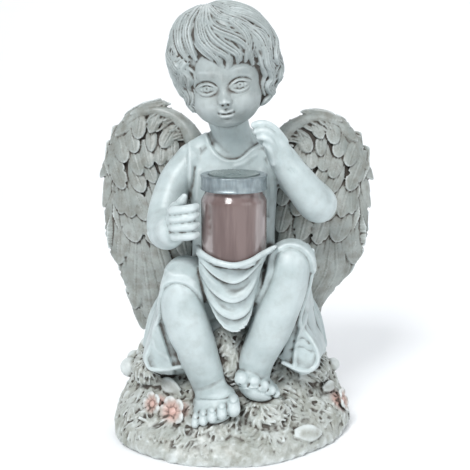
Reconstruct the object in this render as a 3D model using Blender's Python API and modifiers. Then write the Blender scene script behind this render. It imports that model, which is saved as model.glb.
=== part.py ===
"""A seated garden cherub, cast in one with its wings and grassy mound, with a lidded glass jar in its lap.

Metres, +Z up. The figure faces -Y and the origin is on the ground under the middle of the mound.
The free forms of the figure are laid out in shares of its height: one unit U is a three-hundredth of it,
and "right" and "left" are the figure's own, so its right side is at -X.
"""

import math

import bmesh
import bpy
import numpy as np
from mathutils import Euler, Matrix, Vector

# Driving dimensions
STATUE_HEIGHT = 0.300
MOUND_WIDTH = 0.167
MOUND_DEPTH = 0.151

JAR_RADIUS = 0.0216
JAR_HEIGHT = 0.0560
JAR_WALL = 0.0022
JAR_FLOOR = 0.0040
JAR_CORNER = 0.0050
JAR_SHOULDER = 0.0070
NECK_RADIUS = 0.0190
NECK_HEIGHT = 0.0080
LID_HEIGHT = 0.0085
LID_WALL = 0.0010
LID_TOP = 0.0012
LID_RIM = 0.0016
LID_CLEARANCE = 0.0004
PANEL_RADIUS = 0.0165
PANEL_THICKNESS = 0.0020
PANEL_SINK = 0.0006
GAP = 0.0003

# Where the jar stands: the centre of its underside, in units of U
JAR_SEAT = (-0.7, -40.0, 131.0)

U = STATUE_HEIGHT / 300
BODY_VOXEL = 1.6 * U
CARVING_VOXEL = 1.1 * U
STATUE_TRIANGLES = 7200
MERGE_CARE = 0.18

HEAD_CENTRE = (-7.5, -7.0, 257.5)
HEAD_TURN = Euler((math.radians(7), math.radians(-5.5), math.radians(-3.5)))
SKULL = (28.5, 31.5, 33.5)
JAW = (23.5, 20.0, 22.0)
JAW_CENTRE = (0.0, -12.0, -16.0)


# Shared shaping tools

def smooth_path(stations, spans=5):
    """A Catmull-Rom curve through the stations. Every column, such as a radius, is eased alike."""
    s = np.array(stations, float)
    padded = np.vstack([2 * s[0] - s[1], s, 2 * s[-1] - s[-2]])
    points = []
    for i in range(1, len(padded) - 2):
        a, b, c, d = padded[i - 1:i + 3]
        for t in np.arange(spans) / spans:
            points.append(0.5 * (2 * b + (c - a) * t + (2 * a - 5 * b + 4 * c - d) * t ** 2
                                 + (3 * b - a - 3 * c + d) * t ** 3))
    return np.array(points + [s[-1]])


def unit(v):
    return v / np.maximum(np.linalg.norm(v, axis=-1, keepdims=True), 1e-9)


def loft(clay, rings):
    """A closed skin over a row of rings that have as many points each."""
    rows = [[clay.verts.new(point * U) for point in ring] for ring in rings]
    for low, high in zip(rows, rows[1:]):
        for i in range(len(low)):
            j = (i + 1) % len(low)
            clay.faces.new((low[i], low[j], high[j], high[i]))
    clay.faces.new(rows[0][::-1])
    clay.faces.new(rows[-1])


def sweep(clay, path, half_widths, half_depths, facing, sides=12):
    """A skin round a path of ovals, each half_depth deep towards facing and half_width wide across it."""
    path = np.asarray(path, float)
    along = unit(np.gradient(path, axis=0))
    across = unit(np.cross(along, np.broadcast_to(facing, path.shape)))
    out = unit(np.cross(across, along))
    angle = np.arange(sides) * 2 * math.pi / sides
    wide = np.asarray(half_widths, float)[:, None] * np.cos(angle)
    deep = np.asarray(half_depths, float)[:, None] * np.sin(angle)
    loft(clay, path[:, None] + across[:, None] * wide[..., None] + out[:, None] * deep[..., None])


def tube(clay, stations, facing=(0.13, -0.9, 0.41), flat=1.0, sides=12, spans=5):
    """A round-ended limb or cord through stations of x, y, z and radius. flat thins it towards facing."""
    line = smooth_path(stations, spans)
    ends = np.radians((80, 55, 28))
    first, last = unit(line[0, :3] - line[1, :3]), unit(line[-1, :3] - line[-2, :3])
    start = [[*(line[0, :3] + first * line[0, 3] * math.sin(a)), line[0, 3] * math.cos(a)] for a in ends]
    close = [[*(line[-1, :3] + last * line[-1, 3] * math.sin(a)), line[-1, 3] * math.cos(a)] for a in ends]
    line = np.vstack([start, line, close[::-1]])
    sweep(clay, line[:, :3], line[:, 3], line[:, 3] * flat, facing, sides)


def ball(clay, centre, radii, turn=None, segments=20):
    """An ellipsoid of three radii, turned by an Euler if one is given."""
    radii = (radii,) * 3 if isinstance(radii, (int, float)) else radii
    place = Matrix.Translation(Vector(centre) * U)
    spin = turn.to_matrix().to_4x4() if turn else Matrix.Identity(4)
    size = Matrix.Diagonal([r * U for r in radii] + [1])
    bmesh.ops.create_uvsphere(clay, u_segments=segments, v_segments=segments // 2 + 2, radius=1,
                              matrix=place @ spin @ size)


def bump(x, width):
    """A bell of height 1 at x = 0."""
    return np.exp(-(x / width) ** 2)


def sheet(clay, rows, half_thickness):
    """A cloth of even thickness over a grid of points."""
    rows = np.asarray(rows, float)
    normal = unit(np.cross(np.gradient(rows, axis=1), np.gradient(rows, axis=0)))
    loft(clay, [np.vstack([row + n * half_thickness, (row - n * half_thickness)[::-1]])
                for row, n in zip(rows, normal)])


def wedge(clay, rim, outer, core, spans=4):
    """A flare of cloth between its rim, its outer side and its core, scooped out between rim and core."""
    rings = []
    for r, o, c in zip(smooth_path(rim, spans), smooth_path(outer, spans), smooth_path(core, spans)):
        scoop = [c + (r - c) * s + (o - c) * 0.16 * math.sin(math.pi * s) for s in (0.2, 0.4, 0.6, 0.8)]
        swell = [r + (o - r) * s + (o - c) * 0.10 * math.sin(math.pi * s) for s in (0.0, 0.25, 0.5, 0.75)]
        rings.append(np.array(swell + [o, c] + scoop))
    loft(clay, rings)


# Torso, limbs and hands

TORSO = (  # height, centre y, half width, half depth
    (48, 22, 40, 30), (62, 21, 41, 30), (85, 18, 37, 27), (110, 13, 31, 23), (140, 7, 30, 21),
    (168, 4, 32, 20), (186, 4, 33, 18), (197, 4, 27, 15), (206, 3, 16, 12),
)
RIGHT_ARM = ((-32, 5, 193, 12.0), (-41, -2, 178, 11.2), (-48, -10, 156, 12.2), (-47, -27, 152, 11.2),
             (-43, -43, 158, 8.8))
LEFT_ARM = ((32, 5, 194, 12.5), (47, -4, 180, 12.5), (59, -17, 167, 13.0), (44, -29, 187, 11.5),
            (28, -36, 208, 8.2), (22, -38, 216, 7.5))
RIGHT_SHIN = ((-33, -34, 115, 14.2), (-30.5, -37, 102, 15.0), (-26.5, -38, 86, 15.2),
              (-21.5, -37, 67, 12.8), (-18.5, -34, 48, 11.6), (-19, -29, 36, 11.0))
LEFT_SHIN = ((37.5, -34, 128, 13.6), (32.5, -37, 110, 14.2), (26, -38, 87, 14.6), (18, -36, 67, 12.6),
             (13.5, -31, 54, 11.8), (13, -25, 46, 11.0))
RIGHT_THIGH = ((-20, 18, 76, 23), (-28, -6, 103, 20), (-36, -31, 119, 16.0))
LEFT_THIGH = ((20, 18, 78, 23), (29, -6, 110, 20), (38, -29, 127, 16.5))
RIGHT_TOES = ((0, -60, 34.5, 5.0), (-8.4, -61.5, 32, 3.7), (-15, -62, 29.5, 3.5), (-21.3, -62, 26.5, 3.4),
              (-27, -60, 22.5, 3.3))
LEFT_TOES = ((5, -46, 52, 6.0), (14.4, -47, 49.5, 3.9), (20.4, -46.5, 44.6, 3.7), (25, -45.5, 40.6, 3.5),
             (29.2, -43.5, 37.4, 3.4))


def add_torso(clay):
    """The tunic's body from the seat to the neck, with the shoulders and the neck."""
    angle = np.arange(28) * 2 * math.pi / 28
    rings = [[(half_width * math.cos(a), y + half_depth * math.sin(a), z) for a in angle]
             for z, y, half_width, half_depth in smooth_path(TORSO, 3)]
    loft(clay, np.array(rings))
    tube(clay, ((3, 4, 196, 14.5), (-1, 1, 208, 13.0), (-6, -3, 226, 13.5)))
    for side in (-1, 1):
        ball(clay, (side * 31, 5, 194), (13.5, 13.5, 12.5))
        ball(clay, (side * 17, 17, 178), (15, 10, 20))


def add_limbs(clay):
    for limb in (RIGHT_ARM, LEFT_ARM, RIGHT_SHIN, LEFT_SHIN, RIGHT_THIGH, LEFT_THIGH):
        tube(clay, limb, sides=20)
    ball(clay, (-48, -11, 152), 12.6)
    ball(clay, (60, -18, 166), 13.2)


def add_right_hand(clay):
    """The hand against the jar's side: a palm, four fingers one above the other and an upright thumb."""
    ball(clay, (-37, -48, 161), (7.0, 6.5, 13.0))
    glass = JAR_SEAT[0] - math.sqrt((JAR_RADIUS / U) ** 2 - 11 ** 2)
    for z, short in ((171.2, 2.6), (164.3, 1.8), (157.2, 1.7), (150.3, 2.8)):
        tube(clay, ((-40.5, -50, z - 1.8, 3.3), (-34, -56.5, z - 0.3, 3.4), (-27, -56.5, z + 0.2, 3.1),
                    (glass - short, JAR_SEAT[1] - 11, z, 2.7)))
    tube(clay, ((-38, -45, 167, 4.4), (-35.5, -47, 172, 3.8), (-33.7, -48, 173.5, 3.3)))


def add_left_hand(clay):
    """The curled hand by the chin: the back of the hand and four fingers laid towards the face."""
    ball(clay, (20.0, -38.5, 217.5), (9.0, 6.5, 8.0), Euler((0, math.radians(40), 0)))
    for i in range(4):
        drop = 4.0 * i
        tube(clay, ((24 - 0.6 * i, -41.5, 219.5 - drop, 3.5), (18.5 - 0.4 * i, -44, 223.4 - drop, 3.3),
                    (13.5, -44.5, 223.6 - drop, 3.0), (11.0 + 0.4 * i, -42, 220.2 - drop, 2.7)))
    tube(clay, ((20, -34, 211, 4.0), (15.5, -38, 209, 3.4), (12, -39, 211.5, 3.0)))


def add_foot(clay, sole, toes, up, flat, heel):
    """A foot that widens from its heel to the ball under a row of toes."""
    for path in sole:
        tube(clay, path, up, flat, 18)
    for x, y, z, radius in toes:
        tube(clay, ([*(np.array((x, y, z)) + heel), radius], [x, y + radius * 0.7, z + 0.6, radius],
                    [x, y + radius * 0.4, z - 0.4, radius * 0.95]))


def add_feet(clay):
    """The right foot flat on the grass and the left one rolled onto its outer edge."""
    add_foot(clay, (((-19.5, -24, 36, 11), (-18, -38, 38, 12), (-15.5, -48, 34, 13.5)),
                    ((-14, -42, 34, 13.5), (-13.2, -53, 28.5, 14.5))),
             RIGHT_TOES, (-0.32, -0.2, 1), 0.56, np.array((-1.5, 9.0, 1.0)))
    add_foot(clay, (((13, -22, 45, 11), (15, -33, 47, 12)),
                    ((15, -31, 45, 13.5), (16, -41, 43, 14.5))),
             LEFT_TOES, (0.5, 0.1, 0.86), 0.56, np.array((-0.5, 9.0, -1.5)))


# Head and face

def face_relief(x, z):
    """How far the face stands forward of the skull. It is a calm child's, its eyes an eye's width apart."""
    side = np.abs(x)
    eye_x, eye_z = 11.2, -8.6
    eye = ((side - eye_x) / 6.0) ** 2 + ((z - eye_z) / 4.0) ** 2
    relief = 1.5 * bump(side - 14.5, 7) * bump(z + 19, 7) + 0.6 * bump(z - 14, 12) * bump(x, 18)
    relief -= 2.8 * bump(side - eye_x + 1.5, 6.5) * bump(z - eye_z, 4.8)
    relief += 2.1 * np.clip(1 - eye, 0, 1) ** 0.5
    for edge, height, reach in ((1, 1.0, 4.2), (-1, 0.7, 3.5)):
        lid = eye_z + edge * reach * np.clip(1 - ((side - eye_x) / 6.9) ** 2, 0, 1) ** 0.8
        relief += height * bump(z - lid, 0.9) * np.clip(7.6 - np.abs(side - eye_x), 0, 1)
    relief += 0.7 * bump(z - 0.4 - 0.9 * bump(side - 12, 6), 2.0) * bump(side - 12, 8)
    bridge = np.clip((-4 - z) / 14, 0, 1)
    nose_ends = np.clip((3 - z) / 5, 0, 1) * np.clip((z + 21.5) / 2, 0, 1)
    relief += (1.4 + 3.6 * bridge) * bump(x, 2.7 + 1.3 * bridge) * nose_ends
    relief += 3.4 * bump(x, 3.0) * bump(z + 17.6, 2.8) + 2.0 * bump(side - 3.7, 1.8) * bump(z + 18.6, 1.9)
    relief -= 1.3 * bump(side - 1.9, 1.1) * bump(z + 20.4, 0.9) + 0.5 * bump(x, 1.4) * bump(z + 22.4, 1.6)
    smile = -26.0 + 0.035 * x ** 2
    lip = np.clip(1 - (side / 7.2) ** 2, 0, 1) ** 0.5
    relief += lip * (2.0 * bump(z - smile - 1.6, 1.3) + 2.2 * bump(z - smile + 1.9, 1.5))
    relief -= lip * 1.2 * bump(z - smile, 0.7) + 1.0 * bump(side - 8.0, 1.4) * bump(z + 24.0, 1.5)
    relief += 1.9 * bump(x, 6.5) * bump(z + 33, 3.6) - 0.8 * bump(x, 6) * bump(z + 29.8, 1.5)
    return relief


def head_to_statue(points):
    turn = np.array(HEAD_TURN.to_matrix())
    return np.asarray(points, float) @ turn.T + np.array(HEAD_CENTRE)


def skull_points(d):
    """The skin of the head without its face, a skull and a full jaw, along directions from its middle."""
    skull = 1 / np.linalg.norm(d / np.array(SKULL), axis=-1)
    q, c = d / np.array(JAW), np.array(JAW_CENTRE) / np.array(JAW)
    a, b = (q * q).sum(-1), (q * c).sum(-1)
    jaw = (b + np.sqrt(np.maximum(b * b - a * (c @ c - 1), 0))) / a
    blend = 2.0 * np.logaddexp(skull / 2.0, jaw / 2.0) - 0.5
    low = np.clip(-d[..., 2] - 0.15 + 0.5 * d[..., 1], 0, 1) * np.clip(d[..., 1] * 2.2 + 0.8, 0, 1)
    return d * (blend - 9 * low)[..., None]


def add_head(clay, segments=96):
    """A skull with the face raised on its front."""
    levels = segments * 3 // 4
    fresh = bmesh.ops.create_uvsphere(clay, u_segments=segments, v_segments=levels, radius=1)["verts"]
    d = unit(np.array([v.co for v in fresh]))
    points = skull_points(d)
    front = np.clip((-d[:, 1] - 0.12) / 0.4, 0, 1)
    points[:, 1] -= face_relief(points[:, 0], points[:, 2]) * front ** 2 * (3 - 2 * front)
    for vert, point in zip(fresh, head_to_statue(points)):
        vert.co = point * U


# Hair

WHORL = unit(np.array((-0.34, -0.30, 0.89)))
HAIR_RINGS = (  # degrees from the whorl, locks round it, length in degrees, half width, lift
    (8, 8, 40, 4.4, 4.4), (28, 12, 38, 4.6, 5.0), (48, 16, 36, 4.6, 5.6), (68, 18, 34, 4.5, 6.0),
    (88, 19, 32, 4.3, 6.2), (106, 18, 28, 4.2, 6.0), (122, 15, 26, 4.2, 5.2), (137, 12, 22, 4.0, 3.6),
)
BANGS = (  # long locks of the fringe and the temples, as degrees left of the face's front and above level
    ((-30, 66), (-18, 46), (-11, 31), (-2, 22), (5, 13), (4, 5)),
    ((-26, 55), (-10, 40), (4, 30), (12, 21), (10, 10)),
    ((-20, 61), (3, 45), (17, 36), (23, 25), (22, 12)),
    ((-11, 63), (14, 48), (29, 38), (32, 25), (29, 8)),
    ((-27, 74), (18, 58), (37, 47), (43, 33), (38, 17), (36, 4)),
    ((1, 80), (38, 62), (53, 47), (54, 31), (49, 16), (45, -4)),
    ((30, 80), (60, 70), (80, 55), (78, 40), (70, 24), (58, 8)),
    ((-34, 62), (-35, 50), (-33, 37), (-29, 24), (-23, 13)),
    ((-39, 63), (-53, 51), (-52, 37), (-43, 24), (-34, 9)),
    ((-52, 69), (-72, 53), (-72, 40), (-62, 27), (-48, 13)),
    ((-80, 69), (-90, 54), (-86, 38), (-80, 22), (-68, 5)),
    ((-62, 12), (-54, 0), (-44, -8), (-42, -18), (-48, -27)),
    ((-50, -12), (-46, -22), (-52, -34), (-60, -46)),
    ((62, 8), (56, -6), (60, -20), (58, -32), (66, -42)),
    ((76, 2), (80, -14), (74, -28), (80, -44)),
)


def in_face(d):
    """True where a direction from the middle of the head meets bare skin, on the face or the throat."""
    p = skull_points(d)
    x, z = p[..., 0], p[..., 2]
    brow = 13 - 0.012 * (x + 6) ** 2
    return ((p[..., 1] < -3) & (z < brow) & (x > -22.5) & (x < 24.5)) | (d[..., 2] < -0.88)


def lock(out, half_width, lift, curl):
    """One lock of hair along directions from the middle of the head: path, outward, widths and depths."""
    t = np.linspace(0, 1, len(out))
    height = lift * (0.55 + 0.60 * np.sin(math.pi * np.clip(t, 0, 0.9)) ** 0.8)
    height += curl * t ** 3 - 2.0 * t ** 8
    taper = np.sin(math.pi * (0.16 + 0.80 * t)) ** 0.7
    return skull_points(out) + out * height[:, None], out, half_width * taper, 3.2 * taper ** 0.8


def hair_locks(seed=11):
    """Every lock of the head: rings of them round the whorl, then the long ones of the fringe."""
    rng = np.random.default_rng(seed)
    east = unit(np.cross(WHORL, (0, 0, 1.0)))
    north = np.cross(WHORL, east)
    for ring, (start, count, length, half_width, lift) in enumerate(HAIR_RINGS):
        for i in range(count):
            bearing = 2 * math.pi * (i + 0.5 * (ring % 2) + rng.uniform(-0.12, 0.12)) / count
            reach = length * rng.uniform(0.9, 1.15)
            swirl = rng.choice((-1, 1), p=(0.35, 0.65)) * rng.uniform(0.18, 0.42)
            t = np.linspace(0, 1, 12)
            away = np.radians(start + reach * t)
            turn = bearing + swirl * t ** 2 * 1.2 + 0.10 * np.sin(t * 5 + i)
            d = (np.cos(away)[:, None] * WHORL + (np.sin(away) * np.cos(turn))[:, None] * east
                 + (np.sin(away) * np.sin(turn))[:, None] * north)
            curl, wide = rng.uniform(0.5, 2.6), rng.uniform(0.85, 1.12)
            kept = int(np.argmax(in_face(d))) if in_face(d).any() else len(t)
            if kept > 4:
                yield lock(d[:kept], half_width * wide, lift, curl)
    for bang in BANGS:
        line = np.radians(smooth_path(bang, 4))
        level = np.cos(line[:, 1])
        d = np.stack([np.sin(line[:, 0]) * level, -np.cos(line[:, 0]) * level, np.sin(line[:, 1])], -1)
        yield lock(d, 3.5, 6.6, 0.8)


def add_hair(clay, sides=10):
    """A close cap under overlapping locks, each swept over the skull from the whorl outwards."""
    fresh = bmesh.ops.create_uvsphere(clay, u_segments=64, v_segments=48, radius=1)["verts"]
    d = unit(np.array([v.co for v in fresh]))
    cap = skull_points(d) + d * np.where(in_face(d), -4.0, 4.4)[:, None]
    cap[:, 2] = np.maximum(cap[:, 2], -27)
    for vert, point in zip(fresh, head_to_statue(cap)):
        vert.co = point * U
    turn = np.array(HEAD_TURN.to_matrix())
    for path, out, half_widths, half_depths in hair_locks():
        sweep(clay, head_to_statue(path), half_widths, half_depths, out @ turn.T, sides)


# Wings

WING_LEVELS = (  # height, inner x, outer x of the right wing's sheet
    (60, -62, -68), (72, -52, -74), (93, -38, -79), (111, -29, -84), (130, -23, -89), (153, -19, -92),
    (175, -18, -92), (190, -19, -88), (203, -26, -81), (213, -36, -72), (219, -46, -62),
)
WING_ARM = ((-21, 186, 8.0), (-32, 202, 7.2), (-37, 211, 7.0), (-45, 218, 6.8), (-55, 221.5, 6.2),
            (-66, 222, 5.4), (-75, 218, 4.6), (-84, 208, 3.8), (-89, 193, 3.2), (-92, 176, 2.8))
COVERTS = (  # x and z of the outermost tip, heading, length, half width, step inwards to the next
    (-65, 209, 212, 22, 5.6, (10, -10)), (-72, 203, 228, 20, 5.4, (10.5, -9)),
    (-76, 194, 238, 20, 5.6, (12, -9)), (-81, 184, 243, 23, 6.0, (11.5, -8)),
    (-83.5, 166, 250, 26, 7.2, (14, -3)), (-78.5, 145, 258, 30, 8.4, (14.5, 0)),
    (-73, 126, 264, 30, 8.6, (15, 2)),
)
FRINGE = (  # x and z of the tip, heading and length of the feathers that edge the wing
    (-73, 224, 184, 18), (-83, 216, 203, 20), (-89, 207, 213, 22), (-93.5, 197, 222, 24), (-97, 185, 230, 27),
    (-101, 171, 237, 32), (-101, 150, 249, 36), (-95, 135, 257, 40),
)
LONG_FEATHERS = (
    (-91, 121, 262, 58), (-86, 107, 264, 62), (-80, 91, 266, 66), (-74, 75, 268, 70), (-68, 58, 270, 78),
    (-60, 61, 274, 74), (-52, 72, 278, 66), (-44, 86, 282, 58),
)
SHEET_THICKNESS = 3.2


def wing_y(x, z):
    """Depth of the wing's front: level near the back of the figure, falling back towards its outer edge."""
    dx, dz = np.clip(np.abs(x) - 45, 0, None), z - 150
    return 20 + 0.0085 * dx ** 2 + np.where(dz > 0, 0.0020, 0.0011) * dz ** 2


def on_side(points, side):
    """The right wing's points, or for side 1 the left wing's: mirrored, a little lower and drawn in below."""
    points = np.array(points, float)
    if side > 0:
        z = points[..., 2]
        points[..., 0] *= -(1 - 0.09 * np.clip((115 - z) / 55, 0, 1))
        points[..., 2] = z - 0.07 * np.clip(z - 150, 0, None)
    return points


def covert_rows():
    """Tips of the scale-like feathers: each row runs inwards and down from the wing's outer part."""
    for x, z, heading, length, half_width, step in COVERTS:
        for i in range(5):
            tip = np.array((x + step[0] * i, z + step[1] * i), float)
            if tip[0] < -20:
                yield tip, math.radians(heading + 5 * i), length, half_width, 3.4


def flight_feathers():
    """The long feathers along the bottom and the ones that fringe the outer edge."""
    for i, (x, z, heading, length) in enumerate(LONG_FEATHERS):
        yield np.array((x, z), float), math.radians(heading), length, 7.6, 2.4 - 1.6 * (i % 2)
    for x, z, heading, length in FRINGE:
        yield np.array((x, z), float), math.radians(heading), length, 4.8, -0.2


def add_feather(clay, tip, angle, length, half_width, proud, side, back=False, steps=11, sides=12):
    """One feather on the wing: its root sinks into the sheet and its rounded tip stands proud."""
    t = np.linspace(0, 1, steps)
    heading = np.array((math.cos(angle), math.sin(angle)))
    line = tip - heading * length * (1 - t[:, None])
    y = wing_y(line[:, 0], line[:, 1])
    stand = proud * (0.15 + 0.85 * t) - 0.2
    y = y + 2 * SHEET_THICKNESS + stand * 0.7 if back else y - stand
    path = on_side(np.stack([line[:, 0], y, line[:, 1]], -1), side)
    round_tip = np.sqrt(np.clip(1 - np.clip((t - 0.70) / 0.30, 0, 1) ** 2.2, 0.02, 1))
    width = half_width * round_tip * (0.55 + 0.45 * np.clip(t / 0.4, 0, 1))
    depth = 1.55 * (0.55 + 0.45 * round_tip)
    sweep(clay, path, width, depth, (0, -1, 0), sides)


def add_wing(clay, side):
    """One wing: the sheet, the thick leading edge over its top and the feathers. side is 1 on the left."""
    angle = np.arange(24) * 2 * math.pi / 24
    rings = []
    for z, inner, outer in smooth_path(WING_LEVELS, 3):
        x = (inner + outer) / 2 + (outer - inner) / 2 * np.cos(angle)
        y = wing_y(x, z) + SHEET_THICKNESS * (1 - np.sin(angle))
        rings.append(on_side(np.stack([x, y, np.full_like(x, z)], -1), side))
    loft(clay, rings)
    arm = np.array([(x, wing_y(x, z) + SHEET_THICKNESS, z, r) for x, z, r in smooth_path(WING_ARM, 3)])
    tube(clay, np.column_stack([on_side(arm[:, :3], side), arm[:, 3]]), spans=1)
    for feather in covert_rows():
        add_feather(clay, *feather, side)
    for feather in flight_feathers():
        add_feather(clay, *feather, side)
    for tip, heading, length, half_width, _ in flight_feathers():
        add_feather(clay, tip, heading, length * 1.25, half_width * 1.1, 1.6, side, back=True)
    for tip, heading, length, half_width, _ in list(covert_rows())[::2]:
        add_feather(clay, tip, heading, length * 1.4, half_width * 1.35, 2.8, side, back=True)


# Tunic

RIGHT_FLARE = (  # rim, outer side and core of the cloth that falls from the knee to the grass
    ((-46, -46, 114), (-53, -40, 102), (-54.5, -36, 90), (-55, -33, 81), (-57, -33, 74), (-61, -34, 66),
     (-61, -35, 58), (-52, -37, 55.5), (-40, -38, 55), (-30, -36, 56)),
    ((-46, -6, 116), (-54, 2, 104), (-58, 6, 92), (-60, 8, 82), (-63, 9, 72), (-66, 8, 60),
     (-65, 4, 46), (-54, -4, 38), (-40, -12, 38), (-30, -16, 40)),
    ((-38, -18, 110), (-42, -14, 98), (-44, -9, 87), (-45, -6, 78), (-46, -5, 71), (-47, -6, 66),
     (-46, -8, 62), (-43, -12, 60), (-36, -16, 58), (-28, -20, 58)),
)
LEFT_FLARE = (
    ((49, -40, 124), (51, -38, 112), (50, -37, 100), (47, -35, 90), (45, -33, 82), (47, -32, 76),
     (55, -33, 69), (58.5, -34, 61), (55, -36, 52.5), (45, -38, 50), (35, -38, 55), (28, -36, 58)),
    ((49, -6, 126), (54, 0, 112), (57, 4, 100), (59, 7, 90), (61, 9, 80), (64, 9, 72),
     (67, 8, 62), (67, 4, 52), (60, -2, 40), (48, -10, 36), (36, -16, 38), (28, -18, 42)),
    ((42, -18, 118), (44, -14, 106), (44, -11, 96), (43, -8, 86), (42, -6, 79), (44, -6, 72),
     (47, -8, 67), (47, -10, 62), (44, -13, 58), (38, -16, 57), (33, -19, 59), (28, -22, 60)),
)


def add_skirt(clay):
    """The tunic over the seat, its lap between the thighs and a flare of cloth down each side."""
    ball(clay, (0, 18, 70), (47, 36, 25))
    ball(clay, (0, -20, 116), (33, 27, 19))
    for side, knee_z in ((-1, 116), (1, 126)):
        x = np.array((34, 42, 47, 50, 51)) * side
        z = np.array((knee_z - 8, 94, 76, 61, 46))
        path = np.stack([x, np.array((2, 4, 5, 6, 6)), z], -1)
        sweep(clay, path, (19, 22, 24, 26, 27), (12, 13, 13, 13, 13), (side, 0, 0.35), 20)
    wedge(clay, *RIGHT_FLARE)
    wedge(clay, *LEFT_FLARE)


def add_swag(clay):
    """The cloth slung between the knees, with U folds across it, from the edge that cups the jar's foot."""
    rows = []
    for v in np.linspace(0, 1, 41):
        x = np.linspace(-27, 29, 25)
        rise = 2.2 + 13 * min(1, v / 0.6)
        z = 134 - 50.5 * v + rise * np.minimum((np.abs(x) / 17) ** 1.9, 2.0 + v) + 0.10 * x
        ridge = abs(math.cos(4 * math.pi * v)) ** 0.8
        y = -58 + 12 * v ** 0.7 + 0.010 * x ** 2 - 4.6 * ridge * np.clip(1.15 - np.abs(x) / 30, 0, 1)
        rows.append(np.stack([x, y, z], -1))
    sheet(clay, rows, 2.0)
    ball(clay, (0, -34, 112), (22, 14, 20))
    pad = JAR_RADIUS / U + 1.8
    ball(clay, (JAR_SEAT[0], JAR_SEAT[1] + 2, JAR_SEAT[2] - 7), (pad, pad, 12))


def add_lap_rim(clay):
    """The rolled edge of the lap's cloth that cups the foot of the jar."""
    reach = JAR_RADIUS / U + 2.2
    stations = []
    rim = ((185, 10.5, 1.8), (200, 9, 2.0), (222, 7, 2.3), (245, 4.6, 2.4), (270, 3.2, 2.4),
           (295, 5.2, 2.4), (318, 8.5, 2.3), (340, 12, 2.0), (355, 14, 1.8))
    for bearing, lift, radius in rim:
        a = math.radians(bearing)
        stations.append((JAR_SEAT[0] + reach * math.cos(a), JAR_SEAT[1] + reach * math.sin(a),
                         JAR_SEAT[2] + lift, radius))
    tube(clay, stations)


def add_hems(clay):
    """Rolled edges: round the neck, down the armholes, over each knee and along the flares."""
    tube(clay, ((-17, -2, 208, 1.4), (-17, -11, 203.5, 1.4), (-11, -16, 198.5, 1.4),
                (-1.5, -17.5, 195.5, 1.4), (9, -16, 198.5, 1.4), (15.5, -11, 204, 1.4), (17, -2, 209, 1.4)))
    for side in (-1, 1):
        tube(clay, ((side * 24, 2, 206, 1.2), (side * 26, -8, 198, 1.2), (side * 27.5, -13, 184, 1.2),
                    (side * 30, -12, 166, 1.2)))
    tube(clay, ((-11.5, -49, 90, 1.5), (-15.6, -50.5, 97, 1.6), (-20.5, -51, 107, 1.7), (-28, -50, 116, 1.8),
                (-38, -49, 119, 1.8), (-46, -45, 115, 1.8), (-52.5, -41, 103, 1.9), (-54.5, -36, 90, 2.0),
                (-55, -34, 80, 2.0), (-61, -35, 66, 2.1), (-61, -36, 58, 2.1), (-51, -38, 55, 2.0),
                (-38, -38, 54.5, 1.8)))
    tube(clay, ((16.5, -46, 98, 1.5), (20.5, -46, 114, 1.6), (23.5, -45, 128, 1.7), (29, -43, 138.5, 1.8),
                (37.5, -41, 142, 1.8), (46.5, -41, 137, 1.8), (50.5, -40, 124, 1.8), (50, -38, 105, 1.9),
                (46, -35, 88, 2.0), (46, -33, 77, 2.0), (57, -34, 68, 2.2), (58.5, -35, 59, 2.2),
                (50, -38, 50.5, 2.1), (36, -39, 54.5, 1.9)))
    for x in (-17, -3, 14):
        tube(clay, ((x * 0.7, 20, 186, 2.2), (x * 0.9, 26, 150, 3.0), (x * 1.3, 36, 112, 3.6),
                    (x * 1.9, 48, 78, 4.2)))
    for side in (-1, 1):
        for y, lean in ((2, 2), (14, 4), (27, 0)):
            tube(clay, ((side * 40, y * 0.7, 112, 2.4), (side * (54 + lean), y, 82, 3.2),
                        (side * (60 + lean), y, 56, 3.8)))


# Mound, flowers and grass

MOUND_RINGS = (  # height, centre y, half width and half depth as shares of the mound's
    (0, 0, 0.965, 0.985), (2.5, 0, 1.0, 1.0), (9, 1, 1.0, 0.965), (15, 3, 0.985, 0.90),
    (22, 8, 0.95, 0.80), (31, 15, 0.90, 0.68), (42, 21, 0.84, 0.58), (52, 25, 0.78, 0.52),
    (58, 27, 0.66, 0.44), (62, 28, 0.36, 0.22),
)


def mound_ring(z, y, half_width, half_depth, bearing):
    """Points of one level of the mound along the bearings, on its wavy and slightly skewed outline."""
    b = np.asarray(bearing, float)
    share = 1 + 0.03 * np.cos(b - math.radians(205)) + 0.04 * np.cos(2 * (b - math.radians(225)))
    share = share + 0.010 * np.sin(5 * b + 2.0) + 0.008 * np.sin(9 * b + 0.25 * z)
    return np.stack([half_width * MOUND_WIDTH / U / 2 * share * np.cos(b),
                     y + half_depth * MOUND_DEPTH / U / 2 * share * np.sin(b),
                     np.full_like(b, max(z, 0))], -1)


def on_mound(x, z, back=False):
    """The point of the mound's skin over x at height z, and the way it faces."""
    heights, *shape = np.array(MOUND_RINGS).T
    ring = [np.interp(z, heights, column) for column in shape]
    bearing = np.radians(np.linspace(0, 180, 181) if back else np.linspace(180, 360, 181))
    points = mound_ring(z, *ring, bearing)
    point = points[np.argmin(np.abs(points[:, 0] - x))]
    out = unit(np.array((point[0], (point[1] - ring[0]) * 1.2, 28.0)))
    return point, out


def add_mound(clay):
    """The grassy hill, laid up in rings from its footprint to the seat, with a swell under each foot."""
    bearing = np.arange(72) * 2 * math.pi / 72
    loft(clay, [mound_ring(*level, bearing) for level in smooth_path(MOUND_RINGS, 3)])
    ball(clay, (-13, -47, 12), (22, 17, 17))
    ball(clay, (20, -38, 20), (16, 14, 13))
    ball(clay, (-60, 2, 42), (13, 22, 13))
    ball(clay, (56, 8, 40), (12, 20, 12))


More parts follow.
